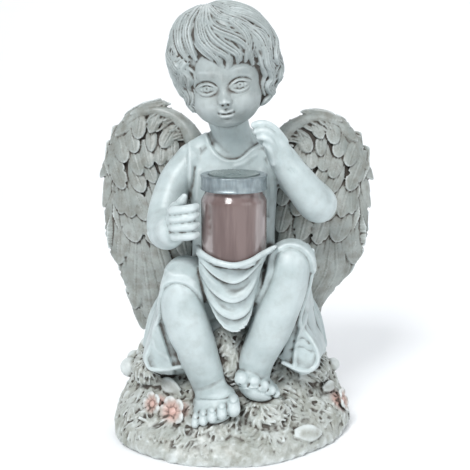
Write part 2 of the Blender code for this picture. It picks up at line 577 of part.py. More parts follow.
FLOWERS = (  # x, height, radius, whether it is at the back of the mound
    (-54.5, 27, 8.0, False), (-40.5, 25.5, 9.6, False), (74, 21, 8.0, False), (-70, 24, 8.5, True),
    (50, 27, 9.0, True), (-18, 24, 9.0, True),
)
BUDS = ((-79, 38, 7.2, False), (-70, 54, 5.0, False), (76, 38, 5.0, True), (-74, 42, 6.0, True))
CLIMBING_BUDS = ((65.5, -8, 60, 4.6), (60, -10, 70, 4.8), (58, -4, 64, 6.0))
LEAVES = (  # x and height of root and tip, half width
    ((-64, 41), (-51, 38), 7.0), ((-50, 39), (-38, 35), 5.5), ((45, 40), (60, 36), 4.5),
    ((40, 15), (58, 11), 6.0), ((37, 29), (16, 22), 4.0), ((-74, 48), (-66, 52), 5.0),
    ((62, 30), (70, 30), 4.0),
)


def add_flower(clay, centre, facing, radius):
    """Five cupped petals round a raised middle."""
    east = unit(np.cross(facing, (0.2, 0.1, 1.0)))
    north = np.cross(facing, east)
    for i in range(5):
        a = 2 * math.pi * i / 5 + 0.3
        out = math.cos(a) * east + math.sin(a) * north
        path = [centre + out * radius * s + facing * lift for s, lift in
                ((0.05, 0.2), (0.30, 0.6), (0.55, 1.5), (0.80, 2.3), (1.0, 2.4))]
        width = np.array((0.18, 0.40, 0.52, 0.48, 0.18)) * radius
        sweep(clay, path, width, (1.6, 1.6, 1.5, 1.3, 1.0), facing, 10)
    ball(clay, centre + facing * 1.2, 0.24 * radius, segments=10)
    tube(clay, ([*(centre - facing * 6), 3.0], [*centre, 3.4]), (0.9, 0.3, 0.1))


def add_leaf(clay, root, tip, half_width):
    """A thick leaf that lies on the mound from one point of it to another."""
    (start, up), (end, _) = on_mound(*root), on_mound(*tip)
    t = np.linspace(0, 1, 7)[:, None]
    path = start + (end - start) * t + up * (0.8 + 2.4 * np.sin(math.pi * t))
    width = half_width * np.sin(math.pi * (0.12 + 0.82 * t[:, 0])) ** 0.8
    sweep(clay, path, width, np.full(7, 2.0), up, 10)


def add_plants(clay, seed=5, tufts=60):
    """Flowers, buds and leaves laid on the mound, and tufts of grass leaning down its slope."""
    for x, z, radius, back in FLOWERS:
        centre, out = on_mound(x, z, back)
        add_flower(clay, centre + out * 2.5, out, radius)
    for x, z, radius, back in BUDS:
        centre, out = on_mound(x, z, back)
        ball(clay, centre + out * radius * 0.4, radius, segments=12)
    for x, y, z, radius in CLIMBING_BUDS:
        ball(clay, (x, y, z), (radius, radius, radius * 0.95), segments=12)
    for leaf in LEAVES:
        add_leaf(clay, *leaf)
    tube(clay, ((-52, -10, 69, 2.0), (-59, -11, 68, 2.2), (-63, -11, 73, 2.1), (-60, -11, 78, 2.0),
                (-55, -11, 77, 1.8), (-56, -11, 73, 1.5)))
    rng = np.random.default_rng(seed)
    for i in range(tufts):
        bearing = 2 * math.pi * (i + rng.uniform(-0.4, 0.4)) / tufts
        level = MOUND_RINGS[rng.integers(3, 7)]
        foot = mound_ring(*level, np.array([bearing]))[0]
        out = np.array((math.cos(bearing), math.sin(bearing), 0.1))
        for fan in (-1, 0, 1):
            lean = unit(out + 0.5 * fan * np.array((-math.sin(bearing), math.cos(bearing), 0.3)))
            root, middle = foot - out * 3 + lean * 1.5, foot + lean * 1.5 - np.array((0, 0, 2.5))
            tip = foot + lean * 2.4 - np.array((0, 0, 6.0))
            tube(clay, ([*root, 1.9], [*middle, 1.7], [*tip, 1.0]), sides=6, spans=2)


# Making solids of the clay

def material(name, colour, roughness, metallic=0.0, alpha=1.0):
    made = bpy.data.materials.new(name)
    made.use_nodes = True
    shader = made.node_tree.nodes["Principled BSDF"]
    shader.inputs["Base Color"].default_value = (*colour, 1)
    shader.inputs["Roughness"].default_value = roughness
    shader.inputs["Metallic"].default_value = metallic
    shader.inputs["Alpha"].default_value = alpha
    return made


def object_from(name, clay, collection):
    bmesh.ops.recalc_face_normals(clay, faces=clay.faces)
    mesh = bpy.data.meshes.new(name)
    clay.to_mesh(mesh)
    clay.free()
    made = bpy.data.objects.new(name, mesh)
    collection.objects.link(made)
    return made


def fuse(obj, voxel, passes):
    """Melts the object's overlapping forms into one skin and rounds the creases between them."""
    remesh = obj.modifiers.new("Fuse", "REMESH")
    remesh.mode = "VOXEL"
    remesh.voxel_size = voxel
    ease = obj.modifiers.new("Ease", "SMOOTH")
    ease.factor = 0.5
    ease.iterations = passes


def applied(obj):
    """Turns the object's modifiers into its mesh."""
    graph = bpy.context.evaluated_depsgraph_get()
    mesh = bpy.data.meshes.new_from_object(obj.evaluated_get(graph))
    obj.modifiers.clear()
    obj.data = mesh
    return obj


def keep_main_skin(obj):
    """Drops crumbs beside the object's main skin, and the skins of hollows sealed inside it."""
    clay = bmesh.new()
    clay.from_mesh(obj.data)
    left = set(clay.verts)
    skins = []
    while left:
        grown = [left.pop()]
        for vert in grown:
            fresh = left.intersection(edge.other_vert(vert) for edge in vert.link_edges)
            left -= fresh
            grown += fresh
        skins.append(grown)
    skins.sort(key=len)
    bmesh.ops.delete(clay, geom=[vert for skin in skins[:-1] for vert in skin], context="VERTS")
    clay.to_mesh(obj.data)
    clay.free()


CARE = (  # centre, reach and weight of the places that keep smaller facets
    ((-9, -38, 238), 24, 1.0), ((-30, -52, 161), 16, 0.6), ((16, -42, 219), 14, 0.6),
    ((-14, -56, 30), 20, 0.85), ((17, -44, 45), 18, 0.85), ((-48, -52, 27), 16, 0.6),
    ((73, -25, 22), 12, 0.3), ((-6, -10, 262), 46, 0.25),
)


def thin_out(obj, triangles):
    """Merges facets down to a number of triangles, and holds on to small ones longest where CARE says."""
    places = np.array([vert.co for vert in obj.data.vertices]) / U
    care = np.zeros(len(places))
    for centre, reach, weight in CARE:
        care = np.maximum(care, weight * bump(np.linalg.norm(places - centre, axis=1), reach))
    group = obj.vertex_groups.new(name="Free to merge")
    for level in range(20):
        chosen = np.nonzero(np.minimum(care * 20, 19).astype(int) == level)[0]
        group.add(chosen.tolist(), 1 - level / 20, "REPLACE")
    thin = obj.modifiers.new("Thin out", "DECIMATE")
    thin.ratio = min(1.0, triangles / sum(len(face.vertices) - 2 for face in obj.data.polygons))
    thin.use_collapse_triangulate = True
    thin.vertex_group = group.name
    thin.vertex_group_factor = MERGE_CARE
    applied(obj)
    obj.vertex_groups.clear()


def cut(obj, cutter):
    """Takes the cutter's shape out of the object."""
    cutter.hide_render = True
    cutter.display_type = "WIRE"
    modifier = obj.modifiers.new("Cut " + cutter.name, "BOOLEAN")
    modifier.operation = "DIFFERENCE"
    modifier.solver = "EXACT"
    modifier.object = cutter


def make_statue(parts, cutters, finish):
    """The casting: a softly blended body first, then the crisp carving on it, fused and thinned out."""
    soft = bmesh.new()
    for shape in (add_torso, add_limbs, add_skirt, add_swag, add_mound):
        shape(soft)
    body = object_from("angel_body", soft, cutters)
    fuse(body, BODY_VOXEL, 6)
    applied(body)

    carving = bmesh.new()
    carving.from_mesh(body.data)
    bpy.data.objects.remove(body)
    for shape in (add_right_hand, add_left_hand, add_feet, add_head, add_hair, add_lap_rim, add_hems,
                  add_plants):
        shape(carving)
    for side in (-1, 1):
        add_wing(carving, side)
    statue = object_from("angel_statue", carving, parts)
    fuse(statue, CARVING_VOXEL, 2)
    applied(statue)
    keep_main_skin(statue)

    thin_out(statue, STATUE_TRIANGLES)
    keep_main_skin(statue)
    cut(statue, jar_envelope(cutters))
    cut(statue, ground_block(cutters))
    statue.data.materials.clear()
    statue.data.materials.append(finish)
    return statue


def ground_block(cutters):
    """Everything below the ground, so that the mound stands on a true flat."""
    depth = STATUE_HEIGHT / 4
    clay = bmesh.new()
    bmesh.ops.create_cube(clay, size=1, matrix=Matrix.Translation((0, 0, -depth / 2))
                          @ Matrix.Diagonal((4 * MOUND_WIDTH, 4 * MOUND_DEPTH, depth, 1)))
    return object_from("ground_cut", clay, cutters)


# Jar, lid and panel

def turned(name, profile, collection, sides=28):
    """A shape turned round the jar's axis from (radius, height) points, top to bottom at its outer side."""
    clay = bmesh.new()
    points = [clay.verts.new((radius, 0, height)) for radius, height in profile]
    for a, b in zip(points, points[1:]):
        clay.edges.new((a, b))
    mesh = bpy.data.meshes.new(name)
    clay.to_mesh(mesh)
    clay.free()
    made = bpy.data.objects.new(name, mesh)
    collection.objects.link(made)
    made.location = Vector(JAR_SEAT) * U
    screw = made.modifiers.new("Turn", "SCREW")
    screw.steps = screw.render_steps = sides
    screw.use_merge_vertices = True
    screw.merge_threshold = 0.00005
    screw.use_smooth_shade = True
    return made


def arc(centre_r, centre_z, radius, start, end, steps=4):
    """Points on a round corner of the outline, from one angle to another in degrees."""
    return [(centre_r + radius * math.cos(math.radians(a)), centre_z + radius * math.sin(math.radians(a)))
            for a in np.linspace(start, end, steps)]


def glass_profile(grow=0.0):
    """The jar's outside from its mouth down to the middle of its floor, or that shape grown all round."""
    body_top = JAR_HEIGHT - NECK_HEIGHT
    shoulder = [(NECK_RADIUS + (JAR_RADIUS - NECK_RADIUS) * (1 - math.cos(a)) / 2 + grow,
                 body_top - JAR_SHOULDER * a / math.pi) for a in np.linspace(0, math.pi, 5)]
    foot = arc(JAR_RADIUS - JAR_CORNER, JAR_CORNER, JAR_CORNER + grow, 0, -90)
    return [(NECK_RADIUS + grow, JAR_HEIGHT + grow)] + shoulder + foot + [(0, -grow)]


def make_jar(parts, finish):
    """The glass: its outside, a rounded lip and the inside one wall away."""
    body_top = JAR_HEIGHT - NECK_HEIGHT
    inner = JAR_RADIUS - JAR_WALL
    mouth = NECK_RADIUS - JAR_WALL
    bend = JAR_CORNER / 2
    inside = [(0, JAR_FLOOR)] + arc(inner - bend, JAR_FLOOR + bend, bend, -90, 0)
    inside += [(mouth + (inner - mouth) * (1 + math.cos(a)) / 2, body_top - JAR_SHOULDER * (1 - a / math.pi))
               for a in np.linspace(0, math.pi, 5)]
    inside += [(mouth, JAR_HEIGHT)]
    jar = turned("glass_jar", inside + glass_profile(), parts)
    jar.data.materials.append(finish)
    return jar


def lid_radius():
    return NECK_RADIUS + LID_CLEARANCE + LID_WALL + LID_RIM


def lid_base():
    """Height of the lid's lower edge above the jar's underside."""
    return JAR_HEIGHT + GAP + LID_TOP - LID_HEIGHT


def make_lid(parts, finish):
    """The screw lid: a skirt round the neck, a rim at its top and foot, and a sunk top for the panel."""
    outer = lid_radius() - LID_RIM * 0.35
    bore = NECK_RADIUS + LID_CLEARANCE
    roll = LID_RIM / 2
    low, high = lid_base(), lid_base() + LID_HEIGHT
    well = PANEL_RADIUS + GAP
    recess = PANEL_THICKNESS - PANEL_SINK
    rim_top = high + recess
    outline = [(0, high), (well, high), (well, rim_top - roll / 2), (well + roll / 2, rim_top)]
    outline += arc(lid_radius() - roll, rim_top - roll, roll, 90, -20, 6)
    outline += [(outer, rim_top - 2.4 * roll), (outer, low + 2.4 * roll)]
    outline += arc(lid_radius() - roll, low + roll, roll, 20, -90, 6)
    outline += [(bore, low), (bore, high - LID_TOP), (0, high - LID_TOP)]
    lid = turned("jar_lid", outline, parts)
    lid.data.materials.append(finish)
    return lid


def make_panel(parts, finish):
    """The round solar panel that fills the well in the lid's top."""
    base = lid_base() + LID_HEIGHT + GAP
    bevel = PANEL_THICKNESS / 5
    outline = [(0, base + PANEL_THICKNESS), (PANEL_RADIUS - bevel, base + PANEL_THICKNESS),
               (PANEL_RADIUS, base + PANEL_THICKNESS - bevel), (PANEL_RADIUS, base), (0, base)]
    panel = turned("solar_panel", outline, parts)
    panel.data.materials.append(finish)
    return panel


def jar_envelope(cutters):
    """The room that the closed jar takes in the lap, a gap larger than it all round."""
    top = lid_base() + LID_HEIGHT + PANEL_THICKNESS + GAP
    reach = lid_radius() + GAP
    outline = [(0, top), (reach, top), (reach, lid_base() - GAP)]
    outline += [point for point in glass_profile(GAP) if point[1] < lid_base() - GAP]
    return turned("jar_room", outline, cutters)


def main():
    for obj in list(bpy.data.objects):
        bpy.data.objects.remove(obj)
    parts = bpy.data.collections.new("Solar angel figurine")
    cutters = bpy.data.collections.new("Cutters")
    for collection in (parts, cutters):
        bpy.context.scene.collection.children.link(collection)
    resin = material("Aged white resin", (0.66, 0.69, 0.68), 0.72)
    glass = material("Rose tinted glass", (0.50, 0.36, 0.34), 0.12, alpha=0.6)
    metal = material("Galvanised lid", (0.50, 0.56, 0.58), 0.38, 0.8)
    cell = material("Solar panel", (0.34, 0.40, 0.42), 0.25)
    make_statue(parts, cutters, resin)
    make_jar(parts, glass)
    make_lid(parts, metal)
    make_panel(parts, cell)


main()
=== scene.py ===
"""A seated garden cherub with a lidded glass jar in its lap: the finished look, built round the solids.

Everything is laid out in units of U, a three-hundredth of the statue's height. "Right" and "left" are the
figure's own, so its right side is at -X. The figure faces -Y.
"""

import math

import bpy
import numpy as np
from mathutils import Euler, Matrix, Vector


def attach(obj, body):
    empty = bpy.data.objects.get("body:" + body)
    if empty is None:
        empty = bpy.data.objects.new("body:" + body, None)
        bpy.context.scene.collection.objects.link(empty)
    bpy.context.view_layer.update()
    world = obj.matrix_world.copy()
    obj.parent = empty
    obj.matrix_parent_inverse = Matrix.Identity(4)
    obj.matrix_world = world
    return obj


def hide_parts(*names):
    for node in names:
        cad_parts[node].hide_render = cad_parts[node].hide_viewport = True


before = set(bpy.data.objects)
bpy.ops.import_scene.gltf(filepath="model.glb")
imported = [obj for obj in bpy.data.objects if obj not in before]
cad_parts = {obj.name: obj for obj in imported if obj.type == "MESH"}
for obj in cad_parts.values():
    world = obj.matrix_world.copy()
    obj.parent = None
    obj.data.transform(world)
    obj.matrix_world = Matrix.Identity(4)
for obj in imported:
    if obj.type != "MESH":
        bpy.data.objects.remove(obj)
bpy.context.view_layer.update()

STATUE_HEIGHT = 0.300
U = STATUE_HEIGHT / 300
MOUND_WIDTH = 167.0
MOUND_DEPTH = 151.0

JAR_SEAT = np.array((-0.7, -40.0, 131.0))
JAR_RADIUS = 21.6
JAR_HEIGHT = 56.0
JAR_WALL = 2.2
JAR_FLOOR = 4.0
JAR_CORNER = 5.0
JAR_SHOULDER = 7.0
NECK_RADIUS = 19.0
NECK_HEIGHT = 8.0
LID_HEIGHT = 8.5
LID_WALL = 1.0
LID_TOP = 1.2
LID_RIM = 1.6
LID_CLEARANCE = 0.4
LID_RADIUS = NECK_RADIUS + LID_CLEARANCE + LID_WALL + LID_RIM
PANEL_RADIUS = 16.5
PANEL_THICKNESS = 2.0
PANEL_SINK = 0.6
GAP = 0.3

HEAD_CENTRE = (-7.5, -7.0, 257.5)
HEAD_TURN = Euler((math.radians(7), math.radians(-7.5), math.radians(-3.5)))
SKULL = (28.5, 31.5, 33.5)
JAW = (23.2, 20.5, 19.8)
JAW_CENTRE = (0.0, -12.0, -18.7)
EYE_X = 11.2
EYE_Z = -9.0
ROOT_DEPTH = 2.4
GROOVE_SHARE = 0.50
EASING_ROUNDS = 12

VIEW_AWAY = 700.0
VIEW_HEIGHT = 290.0
VIEW_DOWN = 12.05
LENS = 78.13

SOFT_VOXEL = 0.9
FIGURE_VOXEL = 0.62
HEAD_VOXEL = 0.45
WING_VOXEL = 0.5
MOUND_VOXEL = 0.55
FIGURE_TRIANGLES = 185000
HEAD_TRIANGLES = 190000
WING_TRIANGLES = 160000
MOUND_TRIANGLES = 195000

# Brown of the aged finish in creases, also laid on as painted shade in sheltered places.
BROWN_FINISH_AND_PAINTED_SHADE = (0.056, 0.044, 0.035)
# Pale of the raised edges: partly paint rubbed off, partly a painted highlight.
RUBBED_EDGE_AND_HIGHLIGHT = (0.76, 0.82, 0.83)
FLOWER_ROSE = (0.66, 0.36, 0.30)


# Shaping tools

class Clay:
    """Closed skins gathered for one mesh."""

    def __init__(self):
        self.points, self.quads, self.triangles, self.size = [], [], [], 0

    def add(self, points, quads, triangles):
        self.quads.append(quads + self.size)
        self.triangles.append(triangles + self.size)
        self.points.append(points)
        self.size += len(points)

    def mesh(self, name):
        return mesh_from(name, np.vstack(self.points), np.vstack(self.quads), np.vstack(self.triangles))


def mesh_from(name, points, *faces):
    """A mesh of points in units of U and arrays of faces."""
    mesh = bpy.data.meshes.new(name)
    mesh.from_pydata(points * U, [], [face for rows in faces for face in rows.tolist()])
    return mesh


def smooth_path(stations, spans=5):
    """A Catmull-Rom curve through the stations. Every column, such as a radius, is eased alike."""
    s = np.array(stations, float)
    padded = np.vstack([2 * s[0] - s[1], s, 2 * s[-1] - s[-2]])
    points = []
    for i in range(1, len(padded) - 2):
        a, b, c, d = padded[i - 1:i + 3]
        for t in np.arange(spans) / spans:
            points.append(0.5 * (2 * b + (c - a) * t + (2 * a - 5 * b + 4 * c - d) * t ** 2
                                 + (3 * b - a - 3 * c + d) * t ** 3))
    return np.array(points + [s[-1]])


def unit(v):
    """Each vector at length 1."""
    return v / np.maximum(np.linalg.norm(v, axis=-1, keepdims=True), 1e-9)


def bump(x, width):
    """A bell of height 1 at x = 0."""
    return np.exp(-(x / width) ** 2)


def round_angles(count):
    """Even steps round a full turn."""
    return np.arange(count) * 2 * math.pi / count


def loft(clay, rings):
    """A closed skin over a row of rings that have as many points each."""
    rings = np.asarray(rings, float)
    rows, sides = rings.shape[:2]
    low = (np.arange(rows - 1)[:, None] * sides + np.arange(sides)).ravel()
    turn = (np.arange(rows - 1)[:, None] * sides + (np.arange(sides) + 1) % sides).ravel()
    quads = np.stack([low, turn, turn + sides, low + sides], -1)
    first, last = rows * sides, rows * sides + 1
    i = np.arange(sides)
    j = (i + 1) % sides
    end = (rows - 1) * sides
    triangles = np.vstack([np.stack([j, i, np.full_like(i, first)], -1),
                           np.stack([end + i, end + j, np.full_like(i, last)], -1)])
    points = np.vstack([rings.reshape(-1, 3), rings[0].mean(0), rings[-1].mean(0)])
    clay.add(points, quads, triangles)


def sweep(clay, path, half_widths, half_depths, facing, sides=16, grooves=0, groove=0.0, phase=0.0):
    """A skin round a path of ovals, each half_depth deep towards facing and half_width wide across it.
    Grooves run along its outer side."""
    path = np.asarray(path, float)
    along = unit(np.gradient(path, axis=0))
    across = unit(np.cross(along, np.broadcast_to(facing, path.shape)))
    out = unit(np.cross(across, along))
    angle = round_angles(sides)
    wide = np.asarray(half_widths, float)[:, None] * np.cos(angle)
    deep = np.asarray(half_depths, float)[:, None] * np.sin(angle)
    if grooves:
        valley = 0.5 + 0.5 * np.cos(math.pi * grooves * np.cos(angle) + phase)
        valley = valley * np.clip(np.sin(angle), 0, 1)
        deep = deep - groove * valley * np.asarray(half_depths, float)[:, None]
    loft(clay, path[:, None] + across[:, None] * wide[..., None] + out[:, None] * deep[..., None])


def tube(clay, stations, facing=(0.13, -0.9, 0.41), flat=1.0, sides=16, spans=6):
    """A round-ended limb or cord through stations of x, y, z and radius. flat thins it towards facing."""
    line = smooth_path(stations, spans)
    ends = np.radians((86, 72, 55, 36, 18))
    first, last = unit(line[0, :3] - line[1, :3]), unit(line[-1, :3] - line[-2, :3])
    start = [[*(line[0, :3] + first * line[0, 3] * math.sin(a)), line[0, 3] * math.cos(a)] for a in ends]
    close = [[*(line[-1, :3] + last * line[-1, 3] * math.sin(a)), line[-1, 3] * math.cos(a)] for a in ends]
    line = np.vstack([start, line, close[::-1]])
    sweep(clay, line[:, :3], line[:, 3], line[:, 3] * flat, facing, sides)


def globe(segments):
    """Unit directions in rings from one pole to the other."""
    tilt = np.radians(np.linspace(1, 179, segments * 3 // 4))[:, None]
    turn = round_angles(segments)[None]
    return np.stack([np.sin(tilt) * np.cos(turn), np.sin(tilt) * np.sin(turn), np.cos(tilt) + 0 * turn], -1)


def ball(clay, centre, radii, segments=24):
    """A ball, or an ellipsoid if three radii are given."""
    loft(clay, globe(segments) * np.broadcast_to(radii, 3) + np.array(centre))


def wedge(clay, rim, outer, core, crown=0.035, swell=0.10):
    """A flare of cloth between its rim, its outer side and its core: its front is crowned a little and its
    side swells."""
    rings = []
    for r, o, c in zip(smooth_path(rim, 6), smooth_path(outer, 6), smooth_path(core, 6)):
        front = [c + (r - c) * s - (o - c) * crown * math.sin(math.pi * s) for s in np.arange(1, 8) / 8]
        side = [r + (o - r) * s + (o - c) * swell * math.sin(math.pi * s) for s in np.arange(8) / 8]
        rings.append(np.array(side + [o, c] + front))
    loft(clay, rings)


def ripple(points, size, seed, waves=14):
    """Smooth seeded noise of about unit height, with swells about one size apart."""
    rng = np.random.default_rng(seed)
    total = np.zeros(len(points))
    for _ in range(waves):
        way = unit(rng.normal(size=3)) * 2 * math.pi / size * rng.uniform(0.7, 1.4)
        total += np.sin(points @ way + rng.uniform(0, 2 * math.pi))
    return total / math.sqrt(waves / 2)


# Torso, limbs and hands

TORSO = (  # height, centre y, half width, half depth
    (48, 22, 40, 30), (62, 21, 41, 30), (85, 18, 37, 27), (110, 13, 31, 23), (140, 6, 29, 21),
    (165, 3, 30, 20), (184, 3, 31.5, 18), (196, 4, 29, 15), (206, 4, 17, 12),
)
RIGHT_ARM = ((-29, 4, 193, 12.3), (-40, -1, 180, 12.2), (-46, -8, 164, 12.6), (-47.5, -14, 153, 13.2),
             (-46, -29, 149, 12.2), (-42, -42, 152, 10.4))
LEFT_ARM = ((31, 4, 193, 12.5), (44, -3, 178, 12.0), (57, -16, 166, 12.8), (53, -23, 169, 12.6),
            (43.2, -29, 182, 11.6), (32.7, -34, 196, 9.4), (25.9, -37, 206.4, 7.0))
RIGHT_SHIN = ((-35.5, -35, 116, 14.0), (-36.0, -38, 103, 14.4), (-32.5, -39, 88, 15.2),
              (-27.5, -38, 73, 14.4), (-22.8, -35, 58, 13.0), (-19.2, -31, 46, 12.2), (-18, -27, 37, 11.0))
LEFT_SHIN = ((37, -34, 129, 13.8), (34, -37, 113, 14.4), (29, -38, 98, 14.6), (24.5, -37.5, 84, 14.0),
             (18.5, -35, 70, 12.9), (14.5, -31, 58, 12.0), (13.5, -25, 47, 11.2))
RIGHT_THIGH = ((-20, 18, 78, 24), (-28, -6, 104, 20.0), (-33.5, -31, 118, 15.2))
LEFT_THIGH = ((20, 18, 80, 24), (29, -6, 111, 20.5), (38, -29, 128, 16.5))
RIGHT_TOES = (  # root and tip: x, y, z, with the radius last
    ((-1.8, -50, 36.5), (-1.0, -60.2, 34.4), 4.7), ((-8.9, -52, 35.5), (-8.8, -62.4, 31.8), 3.5),
    ((-14.9, -52, 33.5), (-15.3, -62.4, 29.4), 3.3), ((-20.4, -51, 30.5), (-21.2, -61.4, 26.8), 3.1),
    ((-25.2, -49, 27.4), (-26.5, -59.0, 23.9), 2.9),
)
LEFT_TOES = (
    ((5.4, -34, 49.4), (5.0, -42.6, 49.4), 5.6), ((12.5, -35, 48.2), (12.5, -43.6, 48.0), 5.0),
    ((18.6, -34, 45.2), (19.0, -42.8, 44.8), 4.5), ((23.2, -33, 42.0), (24.2, -41.4, 41.0), 4.0),
    ((26.4, -31, 39.2), (27.8, -39.4, 37.8), 3.4),
)


def add_toes(clay):
    """Both rows of toes, each toe swelling a little before its round tip and packed against the next."""
    for toes, upright, rise, tall in ((RIGHT_TOES, (0.1, -0.2, 1.0), 1.7, 1.25),
                                      (LEFT_TOES, (0.46, 0, 0.89), 0.2, 0.95)):
        for root, tip, radius in toes:
            root, tip = np.array(root, float), np.array(tip, float)
            middle = root + (tip - root) * 0.62 + np.array((0, -0.8, rise))
            tube(clay, ([*root, radius], [*middle, radius * 0.97], [*tip, radius]), upright, tall, sides=22)


def add_torso(clay):
    """The tunic's body from the seat to the neck, with the shoulders and the neck."""
    c, s = np.cos(round_angles(48)), np.sin(round_angles(48))
    square = 0.74
    wide, deep = np.sign(c) * np.abs(c) ** square, np.sign(s) * np.abs(s) ** square
    rings = [np.stack([half_width * wide - 1.0, y + half_depth * deep, np.full_like(wide, z)], -1)
             for z, y, half_width, half_depth in smooth_path(TORSO, 5)]
    loft(clay, rings)
    tube(clay, ((3, 4, 196, 14.5), (-1, 1, 208, 13.2), (-6, -3, 226, 13.8)), sides=28)
    for side in (-1, 1):
        ball(clay, (side * 29, 4, 193), (12.6, 13.0, 12.4))
        ball(clay, (side * 17, 17, 178), (15, 10, 20))
        tube(clay, ((side * 8, 3, 208, 8.0), (side * 19, 4, 202.5, 9.0), (side * 29, 4, 195.5, 10.0)))


def add_limbs(clay):
    """Arms, shins and thighs."""
    for limb in (RIGHT_ARM, LEFT_ARM, RIGHT_SHIN, LEFT_SHIN, RIGHT_THIGH, LEFT_THIGH):
        tube(clay, limb, sides=28)


def add_right_hand(clay):
    """The hand against the jar's side: a palm, four fingers one above the other and an upright thumb."""
    ball(clay, (-38.5, -47, 160.5), (6.5, 6.5, 12.5))
    for root, middle, tip, radius in ((166.6, 169.2, 170.6, 3.0), (161.2, 163.6, 165.6, 3.05),
                                      (155.9, 157.6, 158.7, 3.05), (150.6, 151.4, 152.2, 2.9)):
        tube(clay, ((-41.5, -47.5, root, radius), (-38.8, -53.2, (root + middle) / 2, radius * 1.08),
                    (-33.5, -56.4, middle, radius * 0.95), (-28.5, -56.0, (middle + tip) / 2, radius * 0.98),
                    (-24.9, -53.0, tip, radius * 0.80)), sides=20)
    tube(clay, ((-38.5, -45.5, 165, 4.4), (-35.8, -47, 170.5, 3.7), (-34.2, -47.6, 173.6, 3.3),
                (-32.9, -47.8, 176.2, 2.2)))


def add_left_hand(clay):
    """The raised hand by the chin: its back runs on from the forearm and the fingers curl over at its top."""
    palm = ((31, -35, 202, 7.2), (27.5, -36.6, 208, 6.9), (23.5, -38, 213.5, 5.9), (19.5, -38.4, 217.5, 4.6))
    tube(clay, palm, sides=28)
    for finger in (
            ((31.0, -35.5, 210, 4.2), (26.4, -37.6, 217.2, 3.4), (21.4, -39.0, 221.4, 3.0),
             (16.6, -39.4, 222.4, 2.8), (12.6, -38.6, 221.6, 2.4)),
            ((29.5, -37.4, 205, 4.2), (25.6, -40.2, 212.0, 3.4), (21.8, -41.9, 216.6, 3.0),
             (17.8, -42.4, 218.2, 2.8), (14.2, -41.4, 217.6, 2.3)),
            ((27.5, -38.8, 201, 4.0), (24.8, -41.6, 207.6, 3.3), (22.0, -43.5, 212.4, 2.9),
             (18.8, -44.0, 214.4, 2.7), (15.8, -42.8, 214.2, 2.2)),
            ((26.0, -39.4, 198, 3.6), (24.2, -41.8, 203.6, 3.0), (22.2, -43.4, 207.8, 2.7),
             (19.8, -43.2, 209.8, 2.2))):
        tube(clay, finger, sides=22)
    tube(clay, ((22, -34, 210, 4.2), (17.0, -36.5, 213, 3.4), (13.8, -37.5, 217, 2.6)), sides=22)


def add_feet(clay):
    """The right foot flat on the slope and the left one rolled back, so that its sole shows."""
    for path in (((-17.2, -20, 39, 9.0), (-16.5, -34, 35.0, 13.0), (-14.0, -42, 34.0, 15.4),
                  (-13.4, -46.5, 32.4, 15.8)),
                 ((-18.2, -22, 50, 10.0), (-17.0, -36, 41.0, 11.8), (-13.4, -49, 35.6, 12.6))):
        tube(clay, path, (-0.40, -0.30, 0.87), flat=0.52, sides=28)
    for path in (((13.5, -21, 46, 10.5), (14.2, -28, 44.0, 12.0), (15.4, -34, 42.2, 13.6)),
                 ((13.0, -25, 52, 10.8), (13.8, -31, 50.5, 11.4), (14.4, -35, 46.8, 12.6))):
        tube(clay, path, (0.46, 0.10, 0.86), flat=0.62, sides=28)


# Head and face

def arch(off, level, rise, half_width, power):
    """Height of a line that rises from a level to its middle at off = 0."""
    return level + rise * np.clip(1 - (off / half_width) ** 2, 0, 1) ** power


def carve_eyes(relief, side, z):
    """Sockets and eyeballs, a raised lid above and below, a crease outside each lid, and the irises."""
    off = side - EYE_X
    eye = (off / 6.4) ** 2 + ((z - EYE_Z) / 4.0) ** 2
    relief -= 2.6 * bump(off + 1.5, 6.5) * bump(z - EYE_Z, 5.2)
    relief += 2.0 * np.clip(1 - eye, 0, 1) ** 0.5
    for edge, height, open_by in ((1, 0.8, 3.1), (-1, 0.3, 2.3)):
        lid = arch(off, EYE_Z, edge * open_by, 7.0, 0.8)
        relief += height * bump(z - lid - 0.4 * edge, 0.8) * np.clip(7.6 - np.abs(off), 0, 1)
        relief -= 1.0 * bump(z - lid + 0.6 * edge, 0.6) * np.clip((6.2 - np.abs(off)) / 2.5, 0, 1)
    upper, lower = arch(off, EYE_Z, 5.4, 8.2, 0.7), arch(off, EYE_Z, -4.7, 8.4, 0.7)
    relief -= 1.0 * bump(z - upper, 0.55) * np.clip(7.8 - np.abs(off), 0, 1)
    relief -= 0.25 * bump(z - lower, 0.7) * np.clip(6.4 - np.abs(off), 0, 1)
    iris = np.hypot(off + 0.2, z - EYE_Z - 0.5)
    relief -= 0.65 * bump(iris - 2.4, 0.5) * np.clip(3.8 - iris, 0, 1) + 1.0 * bump(iris, 0.8)


def carve_nose(relief, x, side, z):
    """The nose's bridge, tip, wings and nostrils, and the groove over the lip."""
    bridge = np.clip((-5 - z) / 12, 0, 1)
    ends = np.clip((2 - z) / 6, 0, 1) * np.clip((z + 19.6) / 2, 0, 1)
    relief += (0.6 + 1.9 * bridge) * bump(x, 2.5 + 0.5 * bridge) * ends
    relief += 3.3 * bump(x, 2.8) * bump(z + 16.4, 2.7) + 1.8 * bump(side - 2.9, 1.4) * bump(z + 17.5, 1.6)
    relief -= 2.2 * bump(side - 1.7, 0.8) * bump(z + 19.1, 0.8) + 0.12 * bump(x, 1.2) * bump(z + 22.0, 1.2)
    relief -= 0.8 * bump(side - 4.8, 0.7) * bump(z + 17.6, 1.7)


